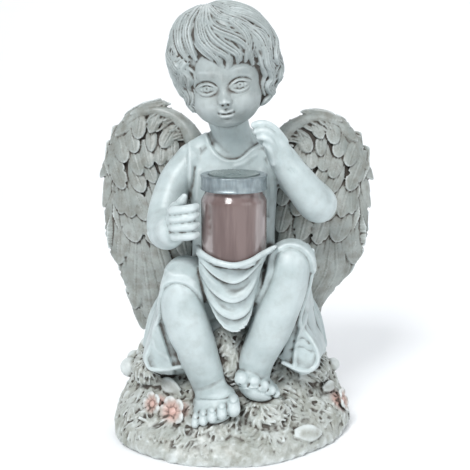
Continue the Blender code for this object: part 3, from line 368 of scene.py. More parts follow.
def carve_mouth(relief, x, side, z):
    """Two lips that meet in a faint smile, and the chin under them."""
    smile = -25.5 + 0.016 * x ** 2
    lip = np.clip(1 - (side / 5.0) ** 2, 0, 1) ** 0.5
    bow = 0.45 * bump(x, 0.9)
    relief += lip * (2.0 * bump(z - smile - 1.4 + bow, 1.1) + 2.4 * bump(z - smile + 2.0, 1.4))
    relief -= lip * 1.15 * bump(z - smile, 0.55) + 0.7 * bump(side - 5.1, 0.8) * bump(z - smile - 0.2, 0.9)
    relief -= 1.0 * bump(x, 3.2) * bump(z + 29.6, 1.1)
    relief += 1.7 * bump(x, 6.5) * bump(z + 33.6, 3.4)


def face_relief(x, z):
    """How far the face stands forward of the skull. It is a calm child's, its eyes an eye's width apart."""
    side = np.abs(x)
    relief = 2.0 * bump(side - 14.5, 8) * bump(z + 20, 9) + 0.6 * bump(z - 14, 12) * bump(x, 18)
    carve_eyes(relief, side, z)
    relief += 0.5 * bump(z - 1.4 - 1.2 * bump(side - 12, 6), 1.9) * bump(side - 12, 7)
    carve_nose(relief, x, side, z)
    carve_mouth(relief, x, side, z)
    return relief


def head_to_statue(points):
    """Points of the upright head at its place and tilt on the statue."""
    turn = np.array(HEAD_TURN.to_matrix())
    return np.asarray(points, float) @ turn.T + np.array(HEAD_CENTRE)


def skull_points(d):
    """The skin of the head without its face, a skull and a full jaw, along directions from its middle."""
    skull = 1 / np.linalg.norm(d / np.array(SKULL), axis=-1)
    q, c = d / np.array(JAW), np.array(JAW_CENTRE) / np.array(JAW)
    a, b = (q * q).sum(-1), (q * c).sum(-1)
    jaw = (b + np.sqrt(np.maximum(b * b - a * (c @ c - 1), 0))) / a
    blend = 2.0 * np.logaddexp(skull / 2.0, jaw / 2.0) - 0.5
    low = np.clip(-d[..., 2] - 0.15 + 0.5 * d[..., 1], 0, 1) * np.clip(d[..., 1] * 2.2 + 0.8, 0, 1)
    return d * (blend - 9 * low)[..., None]


def add_head(clay, segments=380):
    """A skull with the face raised on its front."""
    d = globe(segments)
    points = skull_points(d)
    front = np.clip((-d[..., 1] - 0.12) / 0.4, 0, 1)
    points[..., 1] -= face_relief(points[..., 0], points[..., 2]) * front ** 2 * (3 - 2 * front)
    loft(clay, head_to_statue(points))
    tube(clay, ((-2, 1.5, 205, 10.6), (-5, -1, 217, 11.2), (-7, -3, 228, 12.4)), sides=28)


# Hair

WHORL = unit(np.array((-0.12, -0.10, 0.98)))
HAIR_RINGS = (  # degrees from the whorl, locks round it, length in degrees, half width
    (4, 8, 36, 4.2), (18, 12, 38, 4.2), (34, 16, 36, 4.2), (50, 19, 33, 4.1), (65, 22, 30, 4.0),
    (80, 23, 27, 3.9), (95, 24, 25, 3.8), (110, 23, 23, 3.7), (125, 19, 21, 3.5),
)
HAIRLINE = (  # x and z from the head's middle
    (-24, -12), (-21, -5), (-19, 2), (-15.7, 7), (-12.5, 12), (-6.3, 11), (0, 8), (7.4, 7), (16.7, 4),
    (22, 0), (26, -12),
)
FRONT_LOCKS = (  # strokes of hair as seen from the front of the head: x and z from its middle
    ((-5, 45), (3, 47), (13, 47), (25, 42), (34, 29)),
    ((-5, 45), (15, 42), (26, 34), (34, 23), (39, 11)),
    ((-5, 44), (10, 37), (23, 30), (32, 18), (36, 5)),
    ((-5, 43), (3, 34), (15, 29), (25, 17), (30, 5)),
    ((-5, 42), (-1, 30), (11, 22), (19, 14), (22, 3)),
    ((-5, 41), (-3, 28), (5, 19), (12, 12), (11, 6)),
    ((-6, 41), (-7, 29), (-3, 19), (6, 12), (4, 3)),
    ((-6, 42), (-10, 31), (-9, 22), (-1, 13), (1, 5)),
    ((-7, 44), (-13, 37), (-18, 28), (-18, 19), (-16, 11)),
    ((-7, 45), (-17, 39), (-23, 31), (-24, 20), (-22, 11)),
    ((-7, 45), (-20, 43), (-27, 35), (-30, 24), (-28, 14)),
    ((-8, 46), (-18, 46), (-28, 39), (-33, 29), (-34, 18)),
    ((-32, 21), (-34, 14), (-30, 9), (-32, 3), (-28, -2)),
    ((-27, 14), (-30, 9), (-26, 3), (-26, -4), (-22, -10)),
    ((-24, 11), (-26, 6), (-22, 0), (-24, -6), (-21, -12)),
    ((-29, 0), (-27, -8), (-25, -13), (-26, -18), (-21, -25)),
    ((-25, -7), (-23, -13), (-25, -19), (-22, -23), (-23, -28)),
    ((29, 29), (35, 20), (36, 11), (35, 3), (37, -6)),
    ((23, 20), (29, 11), (30, 2), (32, -4), (29, -11)),
    ((38, 5), (38, -3), (34, -9), (35, -15), (31, -21)),
    ((29, 2), (31, -7), (27, -14), (29, -21), (25, -27)),
    ((3, 36), (11, 31), (18, 21), (19, 14), (17, 6)),
    ((15, 29), (23, 24), (28, 17), (28, 9), (25, 2)),
)


def hair_height(d):
    """Height of the hair's outside over the skull, and how far within the hair each direction lies."""
    p = skull_points(d)
    x, y, z = p[..., 0], p[..., 1], p[..., 2]
    full = np.interp(z, (-36, -28, -15, -3, 8, 17, 26, 33), (4.5, 7.8, 9.4, 9.8, 11.0, 12.0, 12.0, 10.4))
    aside = np.interp(z, (-30, -8, 8, 24), (0.10, 0.08, 0.02, -0.02))
    above = (z - np.interp(x, *np.transpose(HAIRLINE))) / 14
    beside = np.maximum(-21 - x, x - 24) / 6
    within = 1 + (np.clip(np.maximum(above, beside), -1, 1) - 1) * np.clip((-3 - y) / 9, 0, 1)
    return (full + aside * x) * (0.30 + 0.70 * np.clip(within, 0, 1)), within


def lock(out, half_width, proud, curl=0.0):
    """One lock of hair along directions from the middle of the head: path, outward, widths and depths."""
    t = np.linspace(0, 1, len(out))
    height = hair_height(out)[0] - ROOT_DEPTH + proud + curl * t ** 3
    height = height - (1.6 + proud) * t ** 6 - 1.5 * (1 - t) ** 6
    taper = np.sin(math.pi * (0.22 + 0.72 * t)) ** 0.6
    return skull_points(out) + out * height[:, None], out, half_width * taper, 2.9 * taper ** 0.7


def seen_in_front(x, z, rounds=7):
    """Directions from the middle of the head towards places on the hair as seen from the front."""
    x, z = np.clip(x, -38, 42), np.clip(z, -40, 47)
    at_x, at_z = x.copy(), z.copy()
    for _ in range(rounds):
        y = -42 * np.sqrt(np.clip(1 - ((at_x - 1.5) / 38) ** 2 - (at_z / 48) ** 2, 0.0004, 1))
        d = unit(np.stack([at_x, y, at_z], -1))
        p = skull_points(d) + d * (hair_height(d)[0] - ROOT_DEPTH)[:, None]
        at_x = at_x + 0.7 * (x - p[:, 0])
        at_z = at_z + 0.7 * (z - p[:, 2])
    return d


def back_locks(rng):
    """Rings of locks round the whorl, each cut short where it would reach the front of the head."""
    east = unit(np.cross(WHORL, (0, 0, 1.0)))
    north = np.cross(WHORL, east)
    t = np.linspace(0, 1, 32)
    for ring, (start, count, length, half_width) in enumerate(HAIR_RINGS):
        for i in range(count):
            bearing = 2 * math.pi * (i + 0.5 * (ring % 2) + rng.uniform(-0.2, 0.2)) / count
            away = np.radians(start + length * rng.uniform(0.85, 1.2) * t)
            sway = rng.uniform(2.6, 4.6) * np.sin(2 * math.pi * t * rng.uniform(0.75, 1.15)
                                                  + rng.uniform(-0.5, 0.5))
            hook = rng.choice((-1, 1), p=(0.35, 0.65)) * rng.uniform(3, 8 + ring)
            turn = (bearing + 0.22 * t ** 2
                    + np.radians(sway * t ** 0.5 + hook * t ** 3) / np.maximum(np.sin(away), 0.25))
            d = (np.cos(away)[:, None] * WHORL + (np.sin(away) * np.cos(turn))[:, None] * east
                 + (np.sin(away) * np.sin(turn))[:, None] * north)
            wide = half_width * rng.uniform(0.75, 1.15)
            proud = rng.uniform(-0.9, 0.6)
            curl = rng.uniform(0.0, 2.4)
            front = (d[:, 1] < -0.25) | (d[:, 2] < -0.86)
            kept = int(np.argmax(front)) if front.any() else len(t)
            if kept > 10:
                yield lock(d[:kept], wide, proud, curl)


def front_locks(rng):
    """Three locks side by side along each stroke of the front, the middle one on top."""
    for stroke in FRONT_LOCKS:
        line = smooth_path(stroke, 9)
        along = unit(np.gradient(line, axis=0))
        across = np.stack([-along[:, 1], along[:, 0]], -1)
        t = np.linspace(0, 1, len(line))
        for offset, proud, wide, length in ((3.3, -1.1, 2.9, 0.94), (-3.2, -0.7, 2.9, 0.86),
                                            (0.2, 0.8, 3.5, 1.0)):
            fan = offset * (0.35 + 0.65 * np.sin(math.pi * np.clip(t * 0.8, 0, 1)))
            sway = rng.uniform(0.4, 0.9) * np.sin(2 * math.pi * (1.3 * t + rng.uniform(0, 1)))
            bend = line + across * (fan + sway)[:, None]
            kept = max(12, int(length * len(line)))
            out = seen_in_front(bend[:kept, 0], bend[:kept, 1])
            for _ in range(EASING_ROUNDS):
                out[1:-1] = unit(out[:-2] + 2 * out[1:-1] + out[2:])
            yield lock(out, wide, proud + rng.uniform(-0.3, 0.3))


def hair_locks(seed=11):
    """Every lock of the head: the rings over its back, then the strokes of its front."""
    rng = np.random.default_rng(seed)
    yield from back_locks(rng)
    yield from front_locks(rng)


def add_hair(clay, seed=3):
    """A close cap under overlapping grooved locks, each swept over the skull from the whorl outwards."""
    d = globe(160)
    height, within = hair_height(d)
    cap = skull_points(d) + d * (height - 3.6 - 5 * np.clip(-within * 4, 0, 1))[..., None]
    cap[..., 2] = np.maximum(cap[..., 2], -31)
    loft(clay, head_to_statue(cap))
    turn = np.array(HEAD_TURN.to_matrix())
    rng = np.random.default_rng(seed)
    for path, out, half_widths, half_depths in hair_locks():
        grooves = 3 if half_widths.max() > 3.0 else 2
        sweep(clay, head_to_statue(path), half_widths, half_depths, out @ turn.T, 44,
              grooves=grooves + int(rng.integers(0, 2)), groove=GROOVE_SHARE, phase=rng.uniform(0, 6))


# Wings

WING_LEVELS = (  # height, inner x, outer x of the right wing's sheet
    (60, -62, -66), (72, -52, -71), (93, -38, -76), (111, -29, -81), (130, -23, -86), (153, -19, -89),
    (175, -18, -90), (190, -19, -88), (203, -25, -84), (213, -33, -77), (220, -42, -69), (224, -50, -60),
)
WING_ARM = (  # the leading edge: x, z and radius
    (-22, 186, 8.0), (-27.5, 200, 7.5), (-33, 210, 6.5), (-39, 217, 5.4), (-47, 222, 4.6), (-57, 224.4, 4.0),
    (-67, 222.4, 3.6), (-75, 217, 3.2), (-83, 208, 2.8), (-88, 196, 2.5), (-91, 180, 2.2),
)
COVERTS = (  # the scale-like feathers: x and z of the tip, heading in degrees, length, half width
    (-70, 205, 260, 20, 5.4), (-61, 209.5, 240, 15, 4.3), (-52, 199.5, 243, 20, 5.4),
    (-59.5, 196.5, 275, 18, 4.3), (-71.5, 195, 285, 19, 5.4), (-79.5, 187.5, 285, 24, 5.8),
    (-67.5, 179.5, 290, 23, 5.5), (-61, 185, 280, 20, 5.2), (-53, 187, 270, 19, 5.2),
    (-80.5, 168.5, 290, 32, 6.5), (-65.5, 167.5, 295, 24, 6.0), (-57, 174.5, 295, 22, 5.0),
    (-74.5, 148.5, 281, 34, 7.2), (-64, 147, 290, 28, 5.6), (-71, 130.5, 288, 36, 8.4),
    (-83, 150, 268, 30, 5.2), (-47, 177, 285, 22, 5.2), (-52, 163, 290, 24, 5.4), (-44, 189, 275, 20, 5.2),
    (-40, 167, 285, 24, 5.4), (-36, 180, 275, 20, 5.2), (-54, 147, 290, 26, 5.8), (-42, 151, 285, 26, 5.8),
    (-57, 130, 292, 30, 7.0), (-45, 133, 288, 30, 7.0), (-32, 159, 280, 26, 5.8), (-31, 139, 280, 28, 6.4),
    (-34, 120, 282, 30, 7.0),
)
FRINGE = (  # the blades along the outer edge, the same way, with how far they stand proud
    (-69.5, 226.8, 189, 24, 2.4, 1.2), (-75.5, 222, 196, 28, 3.0, 2.4), (-81.5, 217, 204, 34, 4.2, 1.2),
    (-85.5, 211.5, 215, 24, 2.6, 0.2), (-87, 206, 221, 26, 3.2, 2.4), (-90.5, 200.5, 225, 30, 4.0, 1.0),
    (-92.6, 192.5, 232, 30, 3.0, 0.0), (-95, 184, 236, 28, 3.6, 1.8), (-99.6, 174.2, 236, 36, 4.0, 0.6),
    (-97, 164, 246, 28, 3.0, -0.6), (-97.6, 152.2, 250, 28, 3.0, 0.4), (-95, 140, 257, 30, 3.6, 1.2),
    (-93.5, 127, 262, 34, 4.4, 0.4),
)
LONG_FEATHERS = (  # x and z of the tip, heading in degrees, length
    (-86, 111.5, 268, 48), (-79, 95, 268, 58), (-74, 78, 270, 66), (-68.3, 61.5, 273, 78), (-60, 62, 277, 76),
    (-52, 72, 282, 68), (-44, 86, 288, 60),
)
SHEET_THICKNESS = 3.2
SHORT_FEATHER = 28
NARROW_FEATHER = 4.9


def wing_y(x, z):
    """Depth of the wing's front: level near the back of the figure, falling back towards its outer edge."""
    dx, dz = np.clip(np.abs(x) - 45, 0, None), z - 150
    return 20 + 0.0085 * dx ** 2 + np.where(dz > 0, 0.0020, 0.0011) * dz ** 2


def on_side(points, side):
    """The right wing's points, or for side 1 the left wing's: mirrored, lower and drawn in below."""
    points = np.array(points, float)
    if side > 0:
        z = points[..., 2]
        low = np.clip((112 - z) / 34, 0, 1)
        points[..., 0] *= -(1.025 - 0.18 * low * low * (3 - 2 * low))
        points[..., 2] = z - 0.07 * np.clip(z - 150, 0, None)
    return points


def covert_rows(rng):
    """The scale-like feathers, each turned a little by chance."""
    for x, z, heading, length, half_width in COVERTS:
        yield np.array((x, z), float), math.radians(heading + rng.uniform(-3, 3)), length, half_width, 3.4


def flight_feathers(rng):
    """The long feathers along the bottom and the blades that fringe the outer edge."""
    for i, (x, z, heading, length) in enumerate(LONG_FEATHERS):
        yield np.array((x, z), float), math.radians(heading), length, 7.4, 2.4 - 1.6 * (i % 2)
    for x, z, heading, length, half_width, proud in FRINGE:
        heading += rng.uniform(-2, 2)
        yield np.array((x, z), float), math.radians(heading), length, half_width, proud


def add_feather(clay, tip, angle, length, half_width, proud, side, rng, back=False):
    """One feather on the wing: its root sinks into the sheet and its rounded tip stands proud.
    A quill runs down its middle, slanting barbs cross each half and slits open the edge of a long one."""
    t = np.linspace(0, 1, max(24, int(length / 0.6)))[:, None]
    u = np.linspace(-1, 1, 25)[None]
    bend = rng.uniform(-0.07, 0.07)
    heading = angle + bend * (1 - t)
    along = np.stack([np.cos(heading), np.sin(heading)], -1)
    across = np.stack([-along[..., 1], along[..., 0]], -1)
    pointed = 1.0 if half_width > NARROW_FEATHER else 1.5
    round_tip = np.sqrt(np.clip(1 - np.clip((t - 0.58) / 0.42, 0, 1) ** (2.2 / pointed), 0.004, 1))
    run = length * t - 1.35 * half_width * np.abs(u)
    barb = np.sin(2 * math.pi * run / rng.uniform(1.7, 2.3) + rng.uniform(0, 6) + 0.8 * np.sin(3 * u + 5 * t))
    slits = 0.0
    if length > SHORT_FEATHER:
        for place, hand in zip(rng.uniform(0.2, 0.9, 4), (1, -1, 1, -1)):
            slits = slits + bump(run - place * length, 0.8) * (u * hand > 0)
    nick = 1 - 0.05 * np.clip(barb, 0, 1) - 0.4 * slits * np.clip(np.abs(u) * 2 - 1, 0, 1)
    width = half_width * round_tip * (0.30 + 0.70 * np.clip(t / 0.4, 0, 1))
    line = np.asarray(tip) - along * (length * (1 - t))[..., None]
    flat = line + across * (width * u * nick)[..., None]
    y = wing_y(flat[..., 0], flat[..., 1])
    stand = proud * (0.10 + 0.90 * t) + 0.7 * t ** 3 - 0.2
    crown = 1.5 * (0.45 + 0.55 * round_tip) * np.sqrt(np.clip(1 - 0.92 * u ** 2, 0, 1))
    crown = crown + 0.5 * bump(u, 0.09) * (1 - 0.6 * t) - 0.4 * bump(np.abs(u) - 0.2, 0.08)
    crown = crown + 0.55 * barb * np.clip(1.0 - np.abs(u), 0, 0.45) * np.clip(t * 4, 0, 1)
    if back:
        stand = stand * np.clip(t * 3, 0, 1) - 2.5 * np.clip(1 - t * 4, 0, 1)
        y = y + 2 * SHEET_THICKNESS + stand * 0.7 + crown
    else:
        y = y - stand - crown
    front = np.stack([flat[..., 0], y, flat[..., 1]], -1)
    behind = front[:, ::-4].copy()
    behind[..., 1] = (y.max(1) + 1.6 if not back else y.min(1) - 1.6)[:, None]
    loft(clay, on_side(np.concatenate([front, behind], 1), side))


def add_plumage(clay, side, rng):
    """Fine ruffled strokes combed over the inner top of the wing, from the shoulder down and outwards."""
    for z in np.arange(224, 188, -2.1):
        for x in np.arange(-68, -30, 5.5):
            px, pz = x + rng.uniform(-2.6, 2.6), z + rng.uniform(-0.9, 0.9)
            if pz > 221.5 - 0.030 * (px + 57) ** 2 or pz < 214 - 0.45 * (px + 66):
                continue
            angle = math.radians(186 + 1.6 * np.clip(-px - 38, 0, 30) + rng.uniform(-9, 9))
            add_feather(clay, (px, pz), angle, rng.uniform(9, 14), rng.uniform(0.9, 1.4),
                        rng.uniform(0.8, 2.4), side, rng)


def add_wing(clay, side):
    """One wing: the sheet, the thick leading edge over its top and the feathers. side is 1 on the left."""
    rng = np.random.default_rng(20 + side)
    angle = round_angles(40)
    rings = []
    for z, inner, outer in smooth_path(WING_LEVELS, 6):
        x = (inner + outer) / 2 + (outer - inner) / 2 * np.cos(angle)
        y = wing_y(x, z) + SHEET_THICKNESS * (1 - np.sin(angle))
        rings.append(on_side(np.stack([x, y, np.full_like(x, z)], -1), side))
    loft(clay, rings)
    arm = np.array([(x, wing_y(x, z) + 0.2 * r, z, r) for x, z, r in smooth_path(WING_ARM, 6)])
    tube(clay, np.column_stack([on_side(arm[:, :3], side), arm[:, 3]]), (0, -1, 0), spans=1, sides=24)
    coverts = list(covert_rows(rng))
    flights = list(flight_feathers(rng))
    for feather in coverts + flights:
        add_feather(clay, *feather, side, rng)
    for tip, heading, length, half_width, _ in flights:
        add_feather(clay, tip, heading, length * 0.95, half_width * 1.2, 1.6, side, rng, back=True)
    for tip, heading, length, half_width, _ in coverts:
        if tip[0] < -38:
            add_feather(clay, tip, heading, length * 1.1, half_width * 1.3, 2.8, side, rng, back=True)
    add_plumage(clay, side, rng)


# Tunic

RIGHT_FLARE = (  # rim, outer side and core of the cloth that falls from the knee to the grass
    ((-47, -44, 116), (-50.5, -41, 104), (-51, -38, 93), (-54.5, -36, 83), (-56, -35, 75), (-58.5, -35, 68),
     (-60.9, -35.5, 61.8), (-58, -36.5, 55), (-48, -37.5, 54.5), (-36, -37, 56.5)),
    ((-46, -6, 116), (-52, 0, 104), (-55, 4, 92), (-57, 6, 82), (-60, 7, 72), (-63, 6, 60),
     (-64, 2, 48), (-54, -6, 42), (-42, -14, 42), (-32, -18, 44)),
    ((-38, -36, 112), (-40, -35, 99), (-40, -34, 88), (-39, -33, 79), (-38, -33, 72), (-37, -33, 67),
     (-35, -33, 63), (-33, -33.5, 60), (-29, -34, 58), (-24, -34, 58)),
)
LEFT_FLARE = (  # the same on the left
    ((52, -33, 137), (52, -35, 125), (50, -35, 112), (47, -35, 102), (44.5, -34, 92), (44.5, -33, 84),
     (48, -32, 79), (52, -32.5, 74), (56, -33.5, 66.5), (56.5, -34.5, 59.5), (52.5, -36, 54),
     (44.5, -36.5, 53.5), (33, -33, 58)),
    ((50, -8, 138), (52, -4, 126), (53, 0, 112), (55, 3, 100), (57, 5, 90), (58, 7, 80), (61, 7, 72),
     (64, 6, 64), (64, 2, 57), (58, -4, 54), (48, -12, 54), (38, -16, 56), (30, -18, 60)),
    ((44, -28, 131), (43, -31, 119), (42, -31, 107), (39, -30, 97), (37, -29, 88), (35, -29, 81),
     (34, -29, 76), (34, -29, 72), (33, -29, 68), (32, -29.5, 65), (31, -29, 63), (30, -28, 62),
     (27, -27, 62)),
)
SWAGS = (  # x and z of the lap's rim and of each slung fold's crest below it, from right to left
    ((-25, 139), (-14, 134.6), (-3, 132.8), (8, 134.6), (18.5, 138.6), (29, 143.5)),
    ((-24, 135.5), (-20, 131.5), (-14.8, 127.1), (-8.1, 123.3), (-0.7, 121.5), (6.1, 123.9), (12.2, 129.2),
     (20, 137)),
    ((-25, 128), (-22.4, 124.2), (-17, 116.5), (-9.5, 110.1), (-2, 107.3), (5.5, 109.4), (10.9, 115.1),
     (17, 127)),
    ((-22, 114), (-19.2, 109.3), (-14.4, 102.9), (-8.2, 97.2), (-0.7, 95.1), (6.9, 98.2), (11.7, 105),
     (15.5, 117)),
    ((-20, 108), (-16.5, 101.3), (-12.4, 93.4), (-6.2, 86.2), (0, 83.8), (6.9, 86.9), (10.8, 94.1),
     (13.5, 107)),
)


def swag_height(v, x):
    """Height of the slung cloth over x, v folds below the lap's rim."""
    levels = [np.interp(x, *smooth_path(crest, 8).T) for crest in SWAGS]
    k = min(int(v), len(SWAGS) - 2)
    return levels[k] + (levels[k + 1] - levels[k]) * (v - k)


def add_skirt(clay):
    """The tunic over the seat, its lap between the thighs and a flare of cloth down each side."""
    ball(clay, (0, 18, 70), (47, 36, 25), segments=48)
    ball(clay, (0, -20, 114), (31, 27, 19), segments=48)
    for side, knee_z in ((-1, 116), (1, 126)):
        x = np.array((34, 41, 45, 48, 49)) * side
        z = np.array((knee_z - 8, 94, 76, 61, 46))
        path = np.stack([x, np.array((0, 2, 3, 4, 4)), z], -1)
        sweep(clay, path, (21, 24, 26, 27, 28), (12, 13, 13, 13, 13), (side, 0, 0.35), 32)
    wedge(clay, *RIGHT_FLARE)
    wedge(clay, *LEFT_FLARE)


def add_swag(clay):
    """The cloth slung between the knees: each fold rolls over a crease and swells towards the next crest."""
    rows = []
    last = len(SWAGS) - 1
    levels = range(last + 1)
    s = np.linspace(0, 1, 61)
    for v in np.linspace(0.0, last, 200):
        left = np.interp(v, levels, (-26, -24, -24, -21, -19))
        right = np.interp(v, levels, (28, 20, 17, 15.5, 13.5))
        x = left + (right - left) * s
        k = min(int(v), last - 1)
        u = v - k
        gap = np.maximum(swag_height(k, x) - swag_height(k + 1, x), 1.0)
        wander = 1 + 0.30 * np.sin(0.17 * x + 2.1 * k)
        crest = np.exp(-(u * gap / (1.5 * wander)) ** 4)
        swell = 0.10 + 0.90 * u ** np.interp(k, range(last), (1.3, 0.9, 0.75, 0.9))
        crest = np.maximum(crest, swell + 0.10 * np.sin(3 * math.pi * u) * np.sin(0.11 * x + k))
        sink = np.interp(k, range(last), (4.6, 7.4, 6.6, 5.4)) * wander ** 0.5 * (1 - crest)
        base = np.interp(v, levels, (-60.5, -59.0, -56.0, -52.5, -49.5))
        y = base + sink * np.sin(math.pi * s) ** 0.4 + 0.011 * (x + 1) ** 2 + 5 * np.abs(2 * s - 1) ** 6
        front = np.stack([x, y, swag_height(v, x)], -1)
        back = front + np.array((0, 5.0 + 1.5 * (v < last), 0))
        rows.append(np.vstack([front, back[::-1]]))
    loft(clay, rows)
    ball(clay, (-1, -30, 112), (20, 13, 21), segments=40)
    ball(clay, JAR_SEAT + np.array((0, 3, -6)), (17, 17, 8.5), segments=48)


def add_lap_rim(clay):
    """The rolled edge of the lap's cloth that cups the foot of the jar and runs on to the left knee."""
    reach = JAR_RADIUS + 2.2
    stations = []
    rim = ((185, 10.5, 1.8), (200, 9, 1.9), (222, 7, 2.0), (245, 4.6, 2.1), (270, 3.2, 2.1),
           (295, 5.2, 2.0), (318, 8.5, 1.9))
    for bearing, lift, radius in rim:
        a = math.radians(bearing)
        stations.append((JAR_SEAT[0] + reach * math.cos(a), JAR_SEAT[1] + reach * math.sin(a),
                         JAR_SEAT[2] + lift, radius))
    stations += [(22.0, -53.0, 141.8, 1.7), (25.5, -51, 143.4, 1.3)]
    tube(clay, stations)


def add_hems(clay):
    """Folds of the tunic down the back and the sides, and the rolled edges of both flares."""
    for rim in (RIGHT_FLARE[0], LEFT_FLARE[0]):
        tube(clay, [(x, y + 0.2, z, 1.5) for x, y, z in rim])
    for x in (-17, -3, 14):
        tube(clay, ((x * 0.7, 20, 186, 2.2), (x * 0.9, 26, 150, 3.0), (x * 1.3, 36, 112, 3.6),
                    (x * 1.9, 48, 78, 4.2)))
    for side in (-1, 1):
        for y, lean in ((2, 2), (14, 4), (27, 0)):
            tube(clay, ((side * 40, y * 0.7, 112, 2.4), (side * (54 + lean), y, 82, 3.2),
                        (side * (60 + lean), y, 56, 3.8)))


# Mound, flowers and grass

MOUND_RINGS = (  # height, centre y, half width and half depth as shares of the mound's
    (0, 0, 0.965, 0.985), (2.5, 0, 1.0, 1.0), (9, 1, 1.0, 0.965), (15, 3, 0.985, 0.90), (22, 8, 0.95, 0.80),
    (31, 15, 0.90, 0.68), (42, 21, 0.84, 0.58), (52, 25, 0.78, 0.52), (58, 27, 0.66, 0.44),
    (62, 28, 0.36, 0.22),
)


def mound_ring(z, y, half_width, half_depth, bearing):
    """Points of one level of the mound along the bearings, on its wavy and slightly skewed outline."""
    b = np.asarray(bearing, float)
    share = 1 + 0.03 * np.cos(b - math.radians(205)) + 0.04 * np.cos(2 * (b - math.radians(225)))
    share = share + 0.010 * np.sin(5 * b + 2.0) + 0.008 * np.sin(9 * b + 0.25 * z)
    x = half_width * MOUND_WIDTH / 2 * share * np.cos(b)
    return np.stack([x, y + half_depth * MOUND_DEPTH / 2 * share * np.sin(b), np.full_like(b, max(z, 0))], -1)


def on_mound(x, z, back=False):
    """The point of the mound's skin at x and height z, and the way it faces there."""
    heights, *shape = np.array(MOUND_RINGS).T
    ring = [np.interp(z, heights, column) for column in shape]
    bearing = np.radians(np.linspace(0, 180, 181) if back else np.linspace(180, 360, 181))
    points = mound_ring(z, *ring, bearing)
    point = points[np.argmin(np.abs(points[:, 0] - x))]
    out = unit(np.array((point[0], (point[1] - ring[0]) * 1.2, 28.0)))
    return point, out


def add_mound(clay):
    """The hill in rings from its footprint up to the seat, with swells under the feet and round the seat."""
    bearing = round_angles(144)
    loft(clay, [mound_ring(*level, bearing) for level in smooth_path(MOUND_RINGS, 6)])
    for centre, radii in (((-13, -43, 10), (26, 24, 19)), ((20, -36, 20), (19, 19, 15)),
                          ((-60, 2, 42), (13, 22, 13)), ((56, 8, 40), (12, 20, 12)),
                          ((-1, -12, 50), (24, 24, 30))):
        ball(clay, centre, radii, segments=40)


FLOWERS = (  # x, height, radius, whether it is at the back of the mound
    (-54.5, 27, 8.6, False), (-40.5, 25.5, 10.4, False), (74, 21, 8.6, False), (-70, 24, 8.5, True),
    (50, 27, 9.0, True), (-18, 24, 9.0, True),
)
BUDS = ((-79, 38, 7.2, False), (-70, 54, 5.0, False), (76, 38, 5.0, True), (-74, 42, 6.0, True))
CLIMBING_BUDS = ((65.5, -8, 60, 4.6), (60, -10, 70, 4.8), (58, -4, 64, 6.0))  # x, y, z, radius
TENDRIL = ((-52, -10, 69, 2.0), (-59, -11, 68, 2.2), (-63, -11, 73, 2.1), (-60, -11, 78, 2.0),
           (-55, -11, 77, 1.8), (-56, -11, 73, 1.5))
LEAVES = (  # x and height of root and tip, half width
    ((-64, 41), (-51, 38), 7.0), ((-50, 39), (-38, 35), 5.5), ((45, 40), (60, 36), 4.5),
    ((40, 15), (58, 11), 6.0), ((37, 29), (16, 22), 4.0), ((-74, 48), (-66, 52), 5.0),
    ((62, 30), (70, 30), 4.0),
)


def add_flower(clay, centre, facing, radius):
    """Five separate cupped petals round a raised middle of small beads."""
    east = unit(np.cross(facing, (0.2, 0.1, 1.0)))
    north = np.cross(facing, east)
    width = smooth_path([(w,) for w in (0.12, 0.28, 0.42, 0.43, 0.20)], 4)[:, 0] * radius
    for i in range(5):
        a = 2 * math.pi * i / 5 + 0.3
        out = math.cos(a) * east + math.sin(a) * north
        cup = ((0.08, -0.2), (0.32, 0.4), (0.58, 1.4), (0.82, 2.3), (1.02, 1.6 + 0.9 * (i % 2)))
        path = smooth_path([centre + out * radius * s + facing * lift for s, lift in cup], 4)
        sweep(clay, path, width, np.linspace(1.3, 1.0, len(path)), facing, 36, grooves=2, groove=0.45)
    for i in range(6):
        a = 2 * math.pi * i / 6
        ball(clay, centre + facing * 1.1 + 0.16 * radius * (math.cos(a) * east + math.sin(a) * north),
             0.09 * radius, segments=12)
    ball(clay, centre + facing * 1.3, 0.12 * radius, segments=12)
    tube(clay, ([*(centre - facing * 6), 3.0], [*(centre - facing * 0.8), 3.0]), (0.9, 0.3, 0.1))


def add_leaf(clay, root, tip, half_width):
    """A thick leaf that lies on the mound from one point of it to another."""
    (start, up), (end, _) = on_mound(*root), on_mound(*tip)
    t = np.linspace(0, 1, 20)[:, None]
    path = start + (end - start) * t + up * (0.8 + 2.4 * np.sin(math.pi * t))
    width = half_width * np.sin(math.pi * (0.12 + 0.82 * t[:, 0])) ** 0.8
    sweep(clay, path, width, np.full(20, 2.0), up, 28, grooves=1, groove=0.4)


def add_plants(clay):
    """Flowers, buds and leaves laid on the mound, and a curled tendril at the right wing's foot."""
    for x, z, radius, back in FLOWERS:
        centre, out = on_mound(x, z, back)
        add_flower(clay, centre + out * 2.5, out, radius)
    for x, z, radius, back in BUDS:
        centre, out = on_mound(x, z, back)
        ball(clay, centre + out * radius * 0.4, radius)
    for x, y, z, radius in CLIMBING_BUDS:
        ball(clay, (x, y, z), (radius, radius, radius * 0.95))
    for leaf in LEAVES:
        add_leaf(clay, *leaf)
    tube(clay, TENDRIL)


